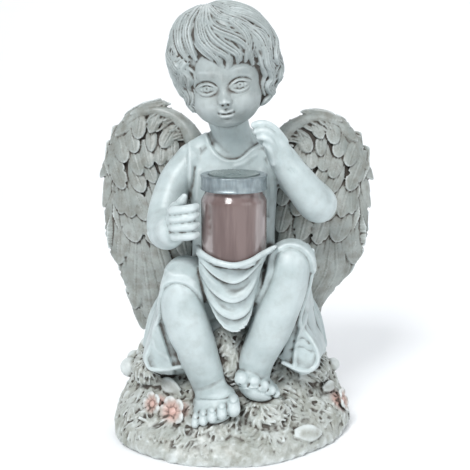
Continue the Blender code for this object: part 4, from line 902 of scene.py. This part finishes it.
def add_grass(clay, ground, seed=5, blades=5200):
    """Short flat blades combed over the ground in patches, thick above the bare foot of the mound."""
    rng = np.random.default_rng(seed)
    points, normals = ground
    grassy = np.nonzero((points[:, 2] > 13 + 3 * ripple(points, 30.0, seed=6)) & (normals[:, 2] > -0.2)
                        & (np.hypot(points[:, 0], points[:, 1]) > 12))[0]
    spots = rng.choice(grassy, blades)
    flow = ripple(points[spots], 26.0, seed=4)
    downhill = np.array((0, -0.2, -1.0))
    t = np.linspace(0, 1, 6)[:, None]
    for spot, way in zip(spots, flow):
        root, out = points[spot], normals[spot]
        down = unit(downhill - out * (downhill @ out))
        turn = way + rng.normal(0, 0.16)
        lean = math.cos(turn) * down + math.sin(turn) * np.cross(out, down)
        side = np.cross(out, lean) * rng.normal(0, 0.4)
        lift = rng.uniform(-0.1, 0.25) * np.sin(math.pi * (0.1 + 0.75 * t)) - 0.12
        path = root + lean * rng.uniform(4.0, 8.0) * t + side * t ** 2 + out * lift
        sweep(clay, path, rng.uniform(0.5, 0.85) * (1.05 - 0.65 * t[:, 0]), np.full(6, 0.5), out, 7)


# Turning clay into pieces

def joined(obj):
    """Puts an object in the scene."""
    bpy.context.scene.collection.objects.link(obj)
    return obj


def read(values, name, width, kind=np.float32):
    """One property of all of a mesh's points, edges or corners, in rows of a width."""
    flat = np.empty(len(values) * width, kind)
    values.foreach_get(name, flat)
    return flat.reshape(-1, width) if width > 1 else flat


def points_of(mesh):
    """The points of a mesh in units of U."""
    return read(mesh.vertices, "co", 3).astype(float) / U


def skin_of(mesh):
    """The points and the four-cornered faces of a mesh fresh from the voxels. Crumbs and the skins of hollows
    sealed inside are left out."""
    points = points_of(mesh)
    edges = read(mesh.edges, "vertices", 2, np.int32)
    quads = read(mesh.loops, "vertex_index", 1, np.int32).reshape(-1, 4)
    label = np.arange(len(points))
    settled = False
    while not settled:
        before = label.copy()
        low = label[edges].min(1)
        np.minimum.at(label, edges[:, 0], low)
        np.minimum.at(label, edges[:, 1], low)
        label = label[label]
        settled = (label == before).all()
    main = label == np.bincount(label).argmax()
    index = np.cumsum(main) - 1
    return points[main], index[quads[main[quads[:, 0]]]]


def evaluated(obj):
    """A new mesh of the object as its modifiers leave it."""
    graph = bpy.context.evaluated_depsgraph_get()
    return bpy.data.meshes.new_from_object(obj.evaluated_get(graph))


def recast(points, quads):
    """Clay that starts from a finished skin."""
    clay = Clay()
    clay.add(points, quads, np.empty((0, 3), int))
    return clay


def fused(clay, voxel, passes):
    """Melts the clay's overlapping forms into one skin and rounds the creases between them."""
    obj = joined(bpy.data.objects.new("clay", clay.mesh("clay")))
    remesh = obj.modifiers.new("Fuse", "REMESH")
    remesh.mode = "VOXEL"
    remesh.voxel_size = voxel * U
    ease = obj.modifiers.new("Ease", "SMOOTH")
    ease.factor = 0.5
    ease.iterations = passes
    mesh = evaluated(obj)
    bpy.data.objects.remove(obj)
    return skin_of(mesh)


def normals_of(points, quads):
    """The way the skin faces at each point."""
    a, b = points[quads[:, 2]] - points[quads[:, 0]], points[quads[:, 3]] - points[quads[:, 1]]
    face = np.cross(a, b)
    total = np.zeros_like(points)
    for corner in range(4):
        for k in range(3):
            total[:, k] += np.bincount(quads[:, corner], face[:, k], len(points))
    return unit(total)


def thinned(name, points, quads, triangles):
    """An object of the skin with its facets merged down to a number of triangles, shaded smooth."""
    obj = joined(bpy.data.objects.new(name, mesh_from(name, points, quads)))
    thin = obj.modifiers.new("Thin out", "DECIMATE")
    thin.ratio = min(1.0, triangles / (2 * len(quads)))
    thin.use_collapse_triangulate = True
    mesh = evaluated(obj)
    obj.modifiers.clear()
    obj.data = mesh
    mesh.shade_smooth()
    return obj


def clear_of_jar(points):
    """Pushes points out of the room of the closed jar, which is two gaps wider than the jar all round."""
    p = points - JAR_SEAT
    lid_low = lid_base()
    heights = (0, JAR_CORNER * 0.3, JAR_CORNER, lid_low - 1, lid_low, lid_low + 14)
    radii = (JAR_RADIUS - JAR_CORNER, JAR_RADIUS - 1.2, JAR_RADIUS, JAR_RADIUS, LID_RADIUS, LID_RADIUS)
    room = np.interp(p[:, 2], heights, radii) + 2 * GAP
    reach = np.hypot(p[:, 0], p[:, 1])
    inside = (p[:, 2] > -2 * GAP) & (p[:, 2] < lid_low + LID_HEIGHT + 5) & (reach < room)
    sideways = inside & (room - reach < p[:, 2] + 2 * GAP)
    down = inside & ~sideways
    points[sideways, :2] = JAR_SEAT[:2] + p[sideways, :2] * (room / np.maximum(reach, 1e-6))[sideways, None]
    points[down, 2] = JAR_SEAT[2] - 2 * GAP


HEM_OVER_RIGHT_KNEE = (  # the bare shin's outline, from the cloth's edge down to the ankle: x and z
    (-52.0, 103), (-49.8, 111.5), (-45.5, 117.0), (-39.5, 119.4), (-31.8, 117.6), (-25.3, 112.0),
    (-20.0, 103.8), (-15.8, 96.0), (-12, 86), (-8, 66), (0, 40), (-34, 40), (-42, 62), (-48, 82), (-52.5, 96),
)
HEM_OVER_LEFT_KNEE = (
    (8, 88), (11.0, 95.5), (14.8, 102.2), (20.3, 113.3), (24.5, 124.5), (25.5, 132.4), (26.8, 136.9),
    (29.9, 140.0), (36.1, 142.4), (43.4, 139.8), (48.6, 134.0), (50.8, 125.0), (50.6, 113), (47.5, 100),
    (43.5, 90), (40, 76), (34, 50), (0, 50),
)
BARE_NECK = (  # the neckline and round over the neck
    (-18.5, 212.5), (-14.7, 203.0), (-9.0, 197.2), (-2.8, 195.3), (3.4, 196.6), (10.1, 202.3), (18.4, 211.1),
    (20, 240), (-20, 240),
)
BARE_RIGHT_ARM = (  # the armhole and round outside the arm
    (-31.6, 210), (-31.7, 205.9), (-31.8, 199), (-31.8, 191.5), (-31.5, 180.0), (-30.8, 166), (-30, 150),
    (-80, 150), (-80, 210),
)
FOLDS = (  # lines drawn on the front, each with its depth, its width and its height
    (((-27.2, 190), (-28.2, 182), (-30.2, 172), (-29.6, 160)), -12, 1.0, -0.9),
    (((-24.6, 188), (-25.0, 180), (-26.2, 168)), -12, 1.4, 0.7),
    (((14, 199.5), (6, 193.4), (0, 191.5)), -16, 1.3, 0.8),
    (((21, 196), (24, 184), (24.5, 170), (23, 156)), -12, 1.3, -1.0),
    (((17.4, 189), (20, 180), (21, 168)), -14, 1.5, 0.8),
    (((-46, 128), (-41, 124), (-33, 123.2), (-27, 119)), -48, 1.6, 0.5),
    (((-51, 117), (-47, 124), (-41, 129)), -44, 1.3, -0.5),
    (((19.5, 128), (17.5, 117), (13.5, 105)), -52, 1.0, -0.9),
    (((24, 140), (21.5, 131), (19.5, 120), (14.5, 107)), -50, 1.4, 0.8),
    (((41, 72), (46, 74.5), (51, 71)), -30, 1.1, -1.0),
    (((38, 66), (45, 68), (52, 65)), -30, 1.3, -0.8),
    (((-50, 84), (-48, 74), (-41, 64)), -33, 2.2, -0.7),
    (((-56, 74), (-53, 67), (-44, 60.5)), -34, 1.6, 0.7),
)
KNUCKLES = (  # short grooves on the raised hand, the same way
    (((34.5, 193), (36.5, 190.5)), -40, 0.4, -0.4), (((36.5, 193.5), (38.6, 190.6)), -40, 0.4, -0.4),
    (((38.6, 193), (40.4, 190.8)), -40, 0.35, -0.3),
)


def as_seen(points, depth):
    """Where points appear, to an eye before the figure, on the upright plane at a depth: x and z."""
    scale = (VIEW_AWAY + depth) / (VIEW_AWAY + points[:, 1])
    return np.stack([points[:, 0] * scale, VIEW_HEIGHT - (VIEW_HEIGHT - points[:, 2]) * scale], -1)


def line_distance(seen, line):
    """How far each seen point lies from a line of x, z stations."""
    gap = np.full(len(seen), np.inf)
    for a, b in zip(line, line[1:]):
        run = b - a
        share = np.clip((seen - a) @ run / max(run @ run, 1e-9), 0, 1)
        gap = np.minimum(gap, np.linalg.norm(seen - a - share[:, None] * run, axis=1))
    return gap


def facing_front(points, normals, depth, reach, low, high):
    """Indices of the points that face the viewer within reach of a depth and inside a box of x and z."""
    return np.nonzero((normals[:, 1] < 0.35) & (np.abs(points[:, 1] - depth) < reach)
                      & (points[:, 0] > low[0]) & (points[:, 0] < high[0])
                      & (points[:, 2] > low[1]) & (points[:, 2] < high[1]))[0]


def drawn(points, normals, line, depth, width, height, reach=14):
    """A ridge along a line drawn on the front, or a groove where height is negative."""
    line = smooth_path(line, 8)
    near = facing_front(points, normals, depth, reach, line.min(0) - 8, line.max(0) + 8)
    gap = line_distance(as_seen(points[near], depth), line)
    points[near] += normals[near] * (height * bump(gap, width))[:, None]


def clothed(points, normals, outline, depth, height, lip=0.0, reach=24, fade=14):
    """Cloth laid over the skin outside the outline of a bare part, with a lip along its edge."""
    closed = np.array(outline + outline[:1], float)
    line = smooth_path(closed, 6)
    near = facing_front(points, normals, depth, reach, line.min(0) - 2 * fade, line.max(0) + 2 * fade)
    seen = as_seen(points[near], depth)
    bare = np.zeros(len(seen), bool)
    for (ax, az), (bx, bz) in zip(line, line[1:]):
        crossing = (az > seen[:, 1]) != (bz > seen[:, 1])
        level = (seen[:, 1] - az) / (bz - az if bz != az else 1e-9)
        bare ^= crossing & (seen[:, 0] < ax + level * (bx - ax))
    gap = line_distance(seen, line)
    out = np.where(bare, -gap, gap)
    rise = height * np.clip(out / 0.9 + 0.5, 0, 1) * np.exp(-(np.maximum(out, 0) / fade) ** 2)
    rise += lip * bump(out - 1.2, 1.3) - 0.35 * height * bump(out + 0.9, 0.9)
    rise *= np.clip(0.25 - 1.8 * normals[near, 1], 0, 1)
    points[near] += normals[near] * rise[:, None]


def carve_figure(points, quads):
    """The cloth's edges over the body and its small folds."""
    normals = normals_of(points, quads)
    clothed(points, normals, HEM_OVER_RIGHT_KNEE, depth=-50, height=1.5)
    clothed(points, normals, HEM_OVER_LEFT_KNEE, depth=-46, height=1.4, lip=0.9)
    clothed(points, normals, BARE_RIGHT_ARM, depth=-10, height=0.9, lip=0.5, fade=9)
    clothed(points, normals, BARE_NECK, depth=-14, height=1.2, lip=0.6, fade=9)
    for fold in FOLDS:
        drawn(points, normals, *fold)
    return points


def hung_arc(x, z, half_width, depth):
    """The lower half of an oval, as x and z stations."""
    turn = np.linspace(math.pi, 2 * math.pi, 7)
    return [(x + half_width * math.cos(a), z + depth * math.sin(a)) for a in turn]


def crease_figure(points, quads):
    """Fine lines in the finished skin: knuckles, the nails of the right foot, the creases under the left toes
    and a small pit in the left big toe."""
    normals = normals_of(points, quads)
    for groove in KNUCKLES:
        drawn(points, normals, *groove)
    for root, tip, radius in RIGHT_TOES:
        x, y, z = np.array(root) + (np.array(tip) - np.array(root)) * 0.86
        nail = hung_arc(x, z + radius * 1.3, radius * 0.62, radius * 0.45)
        drawn(points, normals, nail, y, width=0.4, height=-0.5)
    for _, tip, radius in LEFT_TOES:
        x, y, z = np.array(tip) - np.array((0, radius * 0.5, 0))
        crease = hung_arc(x, z - radius * 0.35, radius * 0.85, radius * 0.55)
        drawn(points, normals, crease, y, width=0.45, height=-0.7)
    drawn(points, normals, ((2.6, 46.6), (3.4, 46.2)), depth=-46, width=0.7, height=-1.4)
    return points


def mound_noise(points):
    """Lumps and grit of the ground, in height: strong over the grass, faint on the bare foot of the mound."""
    grassy = np.clip((points[:, 2] - 10) / 8, 0.55, 1)
    lumps = ripple(points, 9.0, seed=1, waves=30)
    clods = ripple(points, 3.6, seed=2, waves=40)
    grit = ripple(points, 1.9, seed=3, waves=40)
    return grassy * (0.50 * lumps + 0.22 * clods + 0.16 * grit)


def pitted(points, normals, seed=8, count=60):
    """Pokes a few small pits into the grassy ground."""
    rng = np.random.default_rng(seed)
    grassy = np.nonzero((points[:, 2] > 14) & (normals[:, 2] > 0.1))[0]
    for place in points[rng.choice(grassy, count)]:
        near = np.nonzero((np.abs(points - place) < 2.6).all(1))[0]
        gap = np.linalg.norm(points[near] - place, axis=1)
        points[near] -= normals[near] * (rng.uniform(0.5, 1.1) * bump(gap, rng.uniform(0.6, 0.9)))[:, None]


def make_figure():
    """The body and its clothes: the large forms are melted together first, then the finer ones."""
    soft = Clay()
    for shape in (add_torso, add_limbs, add_skirt, add_feet):
        shape(soft)
    points, quads = fused(soft, SOFT_VOXEL, passes=14)
    carving = recast(carve_figure(points, quads), quads)
    for shape in (add_swag, add_right_hand, add_left_hand, add_toes, add_lap_rim, add_hems):
        shape(carving)
    points, quads = fused(carving, FIGURE_VOXEL, passes=4)
    points = crease_figure(points, quads)
    clear_of_jar(points)
    return thinned("figure", points, quads, FIGURE_TRIANGLES)


def make_head():
    """The head, its neck and the hair."""
    clay = Clay()
    add_head(clay)
    add_hair(clay)
    return thinned("head", *fused(clay, HEAD_VOXEL, passes=1), HEAD_TRIANGLES)


def make_wing(side):
    """The wing of one side, -1 for the right and 1 for the left."""
    clay = Clay()
    add_wing(clay, side)
    name = "left_wing" if side > 0 else "right_wing"
    return thinned(name, *fused(clay, WING_VOXEL, passes=1), WING_TRIANGLES)


def make_mound():
    """The ground with its grass, flowers and leaves, flat underneath."""
    soft = Clay()
    add_mound(soft)
    points, quads = fused(soft, SOFT_VOXEL, passes=10)
    normals = normals_of(points, quads)
    points = points + normals * mound_noise(points)[:, None]
    carving = recast(points, quads)
    add_grass(carving, (points, normals))
    add_plants(carving)
    points, quads = fused(carving, MOUND_VOXEL, passes=1)
    pitted(points, normals_of(points, quads))
    points[:, 2] = np.maximum(points[:, 2], 0)
    return thinned("mound", points, quads, MOUND_TRIANGLES)


# Jar, lid and panel

def turned(name, profile, sides=128):
    """A closed shape turned round the jar's axis from (radius, height) points."""
    profile = np.array(profile, float)
    angle = round_angles(sides)
    rings = np.stack([profile[:, :1] * np.cos(angle), profile[:, :1] * np.sin(angle),
                      profile[:, 1:] + 0 * angle], -1) + JAR_SEAT
    clay = Clay()
    loft(clay, rings)
    obj = joined(bpy.data.objects.new(name, clay.mesh(name)))
    obj.data.shade_smooth()
    return obj


def arc(centre_r, centre_z, radius, start, end, steps=9):
    """Points on a round corner of the outline, from one angle to another in degrees."""
    return [(centre_r + radius * math.cos(math.radians(a)), centre_z + radius * math.sin(math.radians(a)))
            for a in np.linspace(start, end, steps)]


def make_jar():
    """The glass: the inside from the middle of its floor up, a rounded lip, and the outside down again."""
    body_top = JAR_HEIGHT - NECK_HEIGHT
    inner, mouth = JAR_RADIUS - JAR_WALL, NECK_RADIUS - JAR_WALL
    bend, lip = JAR_CORNER / 2, JAR_WALL / 2
    turn = np.linspace(0, math.pi, 13)
    profile = [(0.01, JAR_FLOOR), (inner * 0.5, JAR_FLOOR)]
    profile += arc(inner - bend, JAR_FLOOR + bend, bend, -90, 0)
    profile += [(mouth + (inner - mouth) * (1 + math.cos(a)) / 2, body_top - JAR_SHOULDER * (1 - a / math.pi))
                for a in turn]
    profile += [(mouth, JAR_HEIGHT - 1)] + arc(NECK_RADIUS - lip, JAR_HEIGHT - lip, lip, 150, 0)
    profile += [(NECK_RADIUS, body_top + 1)]
    profile += [(NECK_RADIUS + (JAR_RADIUS - NECK_RADIUS) * (1 - math.cos(a)) / 2,
                 body_top - JAR_SHOULDER * a / math.pi) for a in turn]
    profile += [(JAR_RADIUS, z) for z in (34, 26, 18, 10)]
    profile += arc(JAR_RADIUS - JAR_CORNER, JAR_CORNER, JAR_CORNER, 0, -90)
    profile += [(JAR_RADIUS * 0.5, 0.4), (0.01, 0.6)]
    return turned("jar", profile)


def lid_base():
    """Height of the lid's foot over the jar's seat: its top rests a gap above the jar's lip."""
    return JAR_HEIGHT + GAP + LID_TOP - LID_HEIGHT


def make_lid():
    """The screw lid: a skirt round the neck with a rolled rim at its top and foot, and a sunk top."""
    outer = LID_RADIUS - LID_RIM * 0.35
    bore, roll = NECK_RADIUS + LID_CLEARANCE, LID_RIM / 2
    low, high = lid_base(), lid_base() + LID_HEIGHT
    well = PANEL_RADIUS + GAP
    rim_top = high + PANEL_THICKNESS - PANEL_SINK
    outline = [(0.01, high), (well, high), (well, rim_top - roll / 2)]
    outline += arc(well + roll, rim_top - roll, roll, 150, 95)
    outline += arc(LID_RADIUS - roll, rim_top - roll, roll, 85, -30)
    outline += [(outer, rim_top - 2.4 * roll), (outer, low + 2.4 * roll)]
    outline += arc(LID_RADIUS - roll, low + roll, roll, 30, -90)
    outline += [(bore, low), (bore, high - LID_TOP), (0.01, high - LID_TOP)]
    return turned("lid", outline)


def make_panel():
    """A disc in the lid's sunk top, with its upper edge rounded off."""
    base = lid_base() + LID_HEIGHT + GAP
    top = base + PANEL_THICKNESS
    bevel = PANEL_THICKNESS / 5
    outline = [(0.01, top)] + arc(PANEL_RADIUS - bevel, top - bevel, bevel, 90, 0, 5)
    return turned("panel", outline + [(PANEL_RADIUS, base), (0.01, base)])


# Where the brown finish gathers and where shade is painted

def neighbour_mean(values, edges):
    """The mean of each point's neighbours."""
    count = np.bincount(edges.ravel(), minlength=len(values))
    total = np.stack([np.bincount(edges[:, 0], values[edges[:, 1], k], len(values))
                      + np.bincount(edges[:, 1], values[edges[:, 0], k], len(values))
                      for k in range(values.shape[1])], -1)
    return total / np.maximum(count, 1)[:, None]


def crease_depth(points, normals, edges, passes):
    """How far each point lies below the smoothed skin round it."""
    smooth = points
    for _ in range(passes):
        smooth = neighbour_mean(smooth, edges)
    depth = ((smooth - points) * normals).sum(1)
    return neighbour_mean(depth[:, None], edges)[:, 0]


def solidity(pieces, cell, softness):
    """Grids of how solid the neighbourhood is, one for each softness, worked out from the skins' facing and
    area, and the grids' origin."""
    places, pushes = [], []
    for obj in pieces:
        mesh = obj.data
        corners = read(mesh.loops, "vertex_index", 1, np.int32).reshape(-1, 3)
        a, b, c = points_of(mesh)[corners.T]
        places.append((a + b + c) / 3)
        pushes.append(np.cross(b - a, c - a) / 2)
    places, pushes = np.vstack(places), np.vstack(pushes)
    margin = 24
    origin = places.min(0) - margin
    shape = np.ceil((places.max(0) + margin - origin) / cell / 8).astype(int) * 8
    slot = np.round((places - origin) / cell).astype(int)
    flat = np.ravel_multi_index(slot.T, shape)
    waves = np.meshgrid(*(2 * math.pi * np.fft.fftfreq(n, cell) for n in shape[:2]),
                        2 * math.pi * np.fft.rfftfreq(shape[2], cell), indexing="ij")
    square = sum(k * k for k in waves)
    square[0, 0, 0] = 1
    field = 0
    for k in range(3):
        push = np.bincount(flat, pushes[:, k], shape.prod()).reshape(shape) / cell ** 3
        field = field + 1j * waves[k] * np.fft.rfftn(push)
    field /= square
    grids = []
    for sigma in softness:
        grid = np.fft.irfftn(field * np.exp(-square * sigma ** 2 / 2), shape)
        grids.append(grid - grid[0, 0, 0])
    return grids, origin


def shelter(points, normals, grids, origin, cell, softness):
    """For each softness, how solid the neighbourhood is just in front of each point."""
    found = []
    for grid, sigma in zip(grids, softness):
        at = (points + normals * sigma * 0.8 - origin) / cell
        base = np.clip(np.floor(at).astype(int), 0, np.array(grid.shape) - 2)
        f = at - base
        total = 0
        for corner in np.ndindex(2, 2, 2):
            weight = np.prod(np.where(corner, f, 1 - f), axis=1)
            total = total + weight * grid[tuple((base + corner).T)]
        found.append(total)
    return found


def add_finish_and_shade_masks(pieces, cell=1.25, softness=(1.6, 4.0)):
    """Stores on every point how deep in creases it lies, how sheltered it is and how near to a flower."""
    grids, origin = solidity(pieces, cell, softness)
    hearts = [(on_mound(x, z, back)[0], radius) for x, z, radius, back in FLOWERS]
    for obj in pieces:
        mesh = obj.data
        points = points_of(mesh)
        normals = read(mesh.vertex_normals, "vector", 3).astype(float)
        edges = read(mesh.edges, "vertices", 2, np.int32)
        # Shelter values, which the resin turns into painted shade.
        near, middle = shelter(points, normals, grids, origin, cell, softness)
        blush = sum(np.exp(-(np.linalg.norm(points - heart, axis=1) / (0.85 * radius)) ** 4)
                    for heart, radius in hearts)
        stored = {"fine": crease_depth(points, normals, edges, passes=3),
                  "coarse": crease_depth(points, normals, edges, passes=14),
                  "near": near, "middle": middle, "blush": blush}
        for name, values in stored.items():
            layer = mesh.attributes.new(name, "FLOAT", "POINT")
            layer.data.foreach_set("value", values.astype(np.float32))


# Materials

def plug(tree, made, inputs):
    """Links or sets inputs of a node. A colour is given as three shares."""
    for key, value in dict(inputs).items():
        socket = made.inputs[key]
        if isinstance(value, bpy.types.NodeSocket):
            tree.links.new(value, socket)
        else:
            socket.default_value = (*value, 1) if socket.type == "RGBA" else value


def node(tree, kind, inputs=(), **settings):
    """A new node of a kind, with its settings and inputs."""
    made = tree.nodes.new(kind)
    for key, value in settings.items():
        setattr(made, key, value)
    plug(tree, made, inputs)
    return made


def noise(tree, place, scale, detail=4.0, roughness=0.55):
    """Cloudy values from 0 to 1."""
    return node(tree, "ShaderNodeTexNoise", {"Vector": place, "Scale": scale, "Detail": detail,
                                             "Roughness": roughness}).outputs["Fac"]


def maths(tree, operation, a, b=0.0):
    """A sum, a product or the like of two values."""
    return node(tree, "ShaderNodeMath", {0: a, 1: b}, operation=operation).outputs[0]


def spread(tree, value, low, high, to_low=0.0, to_high=1.0):
    """A value's range from low to high laid over another range, and held within it."""
    return node(tree, "ShaderNodeMapRange", {"Value": value, "From Min": low, "From Max": high,
                                             "To Min": to_low, "To Max": to_high}).outputs[0]


def mixed(tree, factor, a, b):
    """Colour a, or colour b where the factor is 1."""
    return node(tree, "ShaderNodeMix", {0: factor, 6: a, 7: b}, data_type="RGBA").outputs[2]


def roughened(tree, height, strength, distance):
    """The surface's facing, made uneven by a height."""
    return node(tree, "ShaderNodeBump", {"Height": height, "Strength": strength,
                                         "Distance": distance}).outputs["Normal"]


def streaks(tree, place, squeeze, scale, detail):
    """Noise drawn out down the height."""
    tall = node(tree, "ShaderNodeMapping", {"Vector": place, "Scale": (1.0, 1.0, squeeze)}).outputs[0]
    return noise(tree, tall, scale, detail)


def new_material(name):
    """A material with its tree, its shader and the place on the object that its noise is laid by."""
    made = bpy.data.materials.new(name)
    made.use_nodes = True
    tree = made.node_tree
    place = node(tree, "ShaderNodeTexCoord").outputs["Object"]
    return made, tree, tree.nodes["Principled BSDF"], place


def attribute(tree, name):
    """The values stored on the mesh under a name."""
    return node(tree, "ShaderNodeAttribute", attribute_name=name).outputs["Fac"]


def resin(name, light, shade, stain, finish_and_shade_strength, grime, blush=False):
    """Cast resin: a brown finish in creases, painted shade in sheltered places, and edges lightened by
    rubbing and by a painted highlight.
    """
    made, tree, shader, place = new_material(name)
    cloud = noise(tree, place, 55, 5)
    patch = noise(tree, place, 140, 6, 0.6)
    speck = noise(tree, place, 900, 3, 0.6)
    fine = attribute(tree, "fine")
    # Darkening from two causes: the brown of the aged finish in creases (fine, coarse) and painted shade
    # where the neighbourhood is solid (near, middle).
    brown_finish_and_painted_shade = spread(tree, fine, 0.03, 0.20, 0.0, 0.85)
    for stored, low, high, weight in (("coarse", 0.1, 0.8, 0.35), ("near", 0.32, 0.80, 1.1),
                                      ("middle", 0.36, 0.85, 0.6)):
        brown_finish_and_painted_shade = maths(tree, "ADD", brown_finish_and_painted_shade, spread(tree, attribute(tree, stored), low, high, 0.0, weight))
    uneven = maths(tree, "MULTIPLY", maths(tree, "SUBTRACT", patch, 0.5), 0.6)
    brown_finish_and_painted_shade = maths(tree, "MULTIPLY", maths(tree, "ADD", brown_finish_and_painted_shade, uneven), finish_and_shade_strength)
    brown_finish_and_painted_shade = node(tree, "ShaderNodeClamp", {"Value": brown_finish_and_painted_shade, "Max": 0.93}).outputs[0]
    colour = mixed(tree, spread(tree, cloud, 0.35, 0.65), light, shade)
    film = maths(tree, "ADD", maths(tree, "MULTIPLY", patch, 0.7), maths(tree, "MULTIPLY", speck, 0.3))
    colour = mixed(tree, spread(tree, film, 0.42, 0.62, 0.0, grime), colour, stain)
    # Raised edges lightened: partly rubbed paint, partly a painted highlight.
    colour = mixed(tree, spread(tree, fine, -0.06, -0.30, 0.0, 0.55), colour, RUBBED_EDGE_AND_HIGHLIGHT)
    if blush:
        colour = mixed(tree, maths(tree, "MULTIPLY", attribute(tree, "blush"), 0.75), colour, FLOWER_ROSE)
    grain = maths(tree, "ADD", maths(tree, "MULTIPLY", speck, 0.6), patch)
    # Brown finish and painted shade laid on through the mask.
    plug(tree, shader, {"Base Color": mixed(tree, brown_finish_and_painted_shade, colour, BROWN_FINISH_AND_PAINTED_SHADE), "Specular IOR Level": 0.45,
                        "Roughness": spread(tree, brown_finish_and_painted_shade, 0.0, 1.0, 0.38, 0.85),
                        "Normal": roughened(tree, grain, 0.18, 0.0006)})
    return made


def tinted_glass():
    """Rose-brown glass, clouded by dust, streaked down its height."""
    made, tree, shader, place = new_material("Rose tinted glass")
    streak = streaks(tree, place, 0.12, 160, 3)
    dust = noise(tree, place, 500, 5)
    colour = mixed(tree, spread(tree, streak, 0.38, 0.62), (0.145, 0.100, 0.095), (0.21, 0.155, 0.148))
    plug(tree, shader, {"Base Color": colour, "Roughness": spread(tree, dust, 0.4, 0.7, 0.08, 0.24),
                        "Transmission Weight": 0.18, "IOR": 1.46})
    return made


def galvanised():
    """Dull blue-grey zinc with soft streaks and a browner look where it is scuffed."""
    made, tree, shader, place = new_material("Galvanised lid")
    streak = streaks(tree, place, 0.2, 260, 5)
    patch = noise(tree, place, 420, 4)
    colour = mixed(tree, spread(tree, streak, 0.35, 0.65), (0.17, 0.21, 0.23), (0.33, 0.39, 0.41))
    colour = mixed(tree, spread(tree, patch, 0.45, 0.75, 0.0, 0.5), colour, (0.24, 0.26, 0.26))
    plug(tree, shader, {"Base Color": colour, "Roughness": spread(tree, patch, 0.3, 0.7, 0.32, 0.5),
                        "Metallic": 0.7, "Normal": roughened(tree, streak, 0.1, 0.0004)})
    return made


def dark_cell():
    """The panel's smooth grey face with faint bands and a little dust."""
    made, tree, shader, place = new_material("Solar panel")
    bands = node(tree, "ShaderNodeTexWave", {"Vector": place, "Scale": 60.0, "Distortion": 0.2},
                 wave_type="BANDS", bands_direction="X").outputs["Fac"]
    dust = noise(tree, place, 120, 4)
    colour = mixed(tree, spread(tree, bands, 0.9, 1.0, 0.0, 0.3), (0.13, 0.17, 0.17), (0.22, 0.27, 0.27))
    colour = mixed(tree, spread(tree, dust, 0.4, 0.7, 0.0, 0.4), colour, (0.25, 0.29, 0.28))
    plug(tree, shader, {"Base Color": colour, "Roughness": spread(tree, dust, 0.3, 0.7, 0.22, 0.42)})
    return made


def painted(obj, material, slot, *nodes):
    """Gives a piece its material and the solids that it stands for. Its slot is not used."""
    obj.data.materials.clear()
    obj.data.materials.append(material)
    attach(obj, "root")
    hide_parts(*nodes)


# Camera, floor and light

def make_camera():
    """The viewing angle of the photograph: level with the top of the figure, looking a little down."""
    camera = bpy.data.cameras.new("Camera")
    camera.lens = LENS
    camera.sensor_width = 36
    obj = joined(bpy.data.objects.new("Camera", camera))
    obj.location = (0, -VIEW_AWAY * U, VIEW_HEIGHT * U)
    obj.rotation_euler = (math.radians(90 - VIEW_DOWN), 0, 0)
    bpy.context.scene.camera = obj


def make_floor():
    """A pale floor that curves up behind."""
    front, back, bend, top, half_width = -1.6, 1.0, 0.5, 2.0, 2.5
    profile = [(front, 0.0), (back, 0.0)]
    for a in np.linspace(0.1, math.pi / 2, 12):
        profile.append((back + bend * math.sin(a), bend - bend * math.cos(a)))
    profile.append((back + bend, top))
    points = [(x, y, z) for y, z in profile for x in (-half_width, half_width)]
    faces = [(2 * i, 2 * i + 1, 2 * i + 3, 2 * i + 2) for i in range(len(profile) - 1)]
    mesh = bpy.data.meshes.new("floor")
    mesh.from_pydata(points, [], faces)
    mesh.shade_smooth()
    made, tree, shader, _ = new_material("Floor")
    plug(tree, shader, {"Base Color": (0.86, 0.87, 0.88), "Roughness": 0.9})
    mesh.materials.append(made)
    joined(bpy.data.objects.new("floor", mesh))


def make_lights():
    """A soft key light from high on the viewer's left, a weaker fill, a rim light and a pale sky."""
    for name, place, aim, size, power in (("Key", (-0.55, -1.3, 1.5), (0, 0, 0.15), 0.6, 29),
                                          ("Fill", (1.3, -1.2, 0.8), (0, 0, 0.15), 1.2, 9),
                                          ("Rim", (0.2, 1.1, 1.4), (0, 0, 0.2), 1.2, 9)):
        light = bpy.data.lights.new(name, "AREA")
        light.size, light.energy = size, power
        obj = joined(bpy.data.objects.new(name, light))
        obj.location = place
        obj.rotation_euler = (Vector(aim) - Vector(place)).to_track_quat("-Z", "Y").to_euler()
    world = bpy.data.worlds.new("Studio")
    bpy.context.scene.world = world
    world.use_nodes = True
    plug(world.node_tree, world.node_tree.nodes["Background"], {"Color": (0.93, 0.96, 1.0), "Strength": 0.60})


def main():
    statue = [make_figure(), make_head(), make_wing(-1), make_wing(1), make_mound()]
    add_finish_and_shade_masks(statue)
    # Each resin: brown finish in creases, painted shade in sheltered places, and edges lightened partly by
    # rubbing and partly as a painted highlight.
    skin = resin("Aged white resin", (0.47, 0.545, 0.55), (0.38, 0.45, 0.455), (0.30, 0.32, 0.30), 0.70, 0.16)
    plume = resin("Plumage with brown finish and painted shade", (0.34, 0.37, 0.355), (0.22, 0.245, 0.23), (0.17, 0.155, 0.12), 1.3, 0.42)
    hair = resin("Hair with brown finish and painted shade", (0.355, 0.40, 0.40), (0.275, 0.315, 0.313), (0.24, 0.24, 0.21), 1.25, 0.16)
    ground = resin("Weathered ground", (0.47, 0.50, 0.48), (0.33, 0.355, 0.325), (0.22, 0.21, 0.16), 0.8,
                   0.45, blush=True)
    for obj, material in zip(statue, (skin, hair, plume, plume, ground)):
        painted(obj, material, "resin", "angel_statue")
    painted(make_jar(), tinted_glass(), "glass", "glass_jar")
    painted(make_lid(), galvanised(), "lid_metal", "jar_lid")
    painted(make_panel(), dark_cell(), "panel", "solar_panel")
    make_camera()
    make_floor()
    make_lights()
    bpy.context.scene.view_settings.view_transform = "Standard"


main()
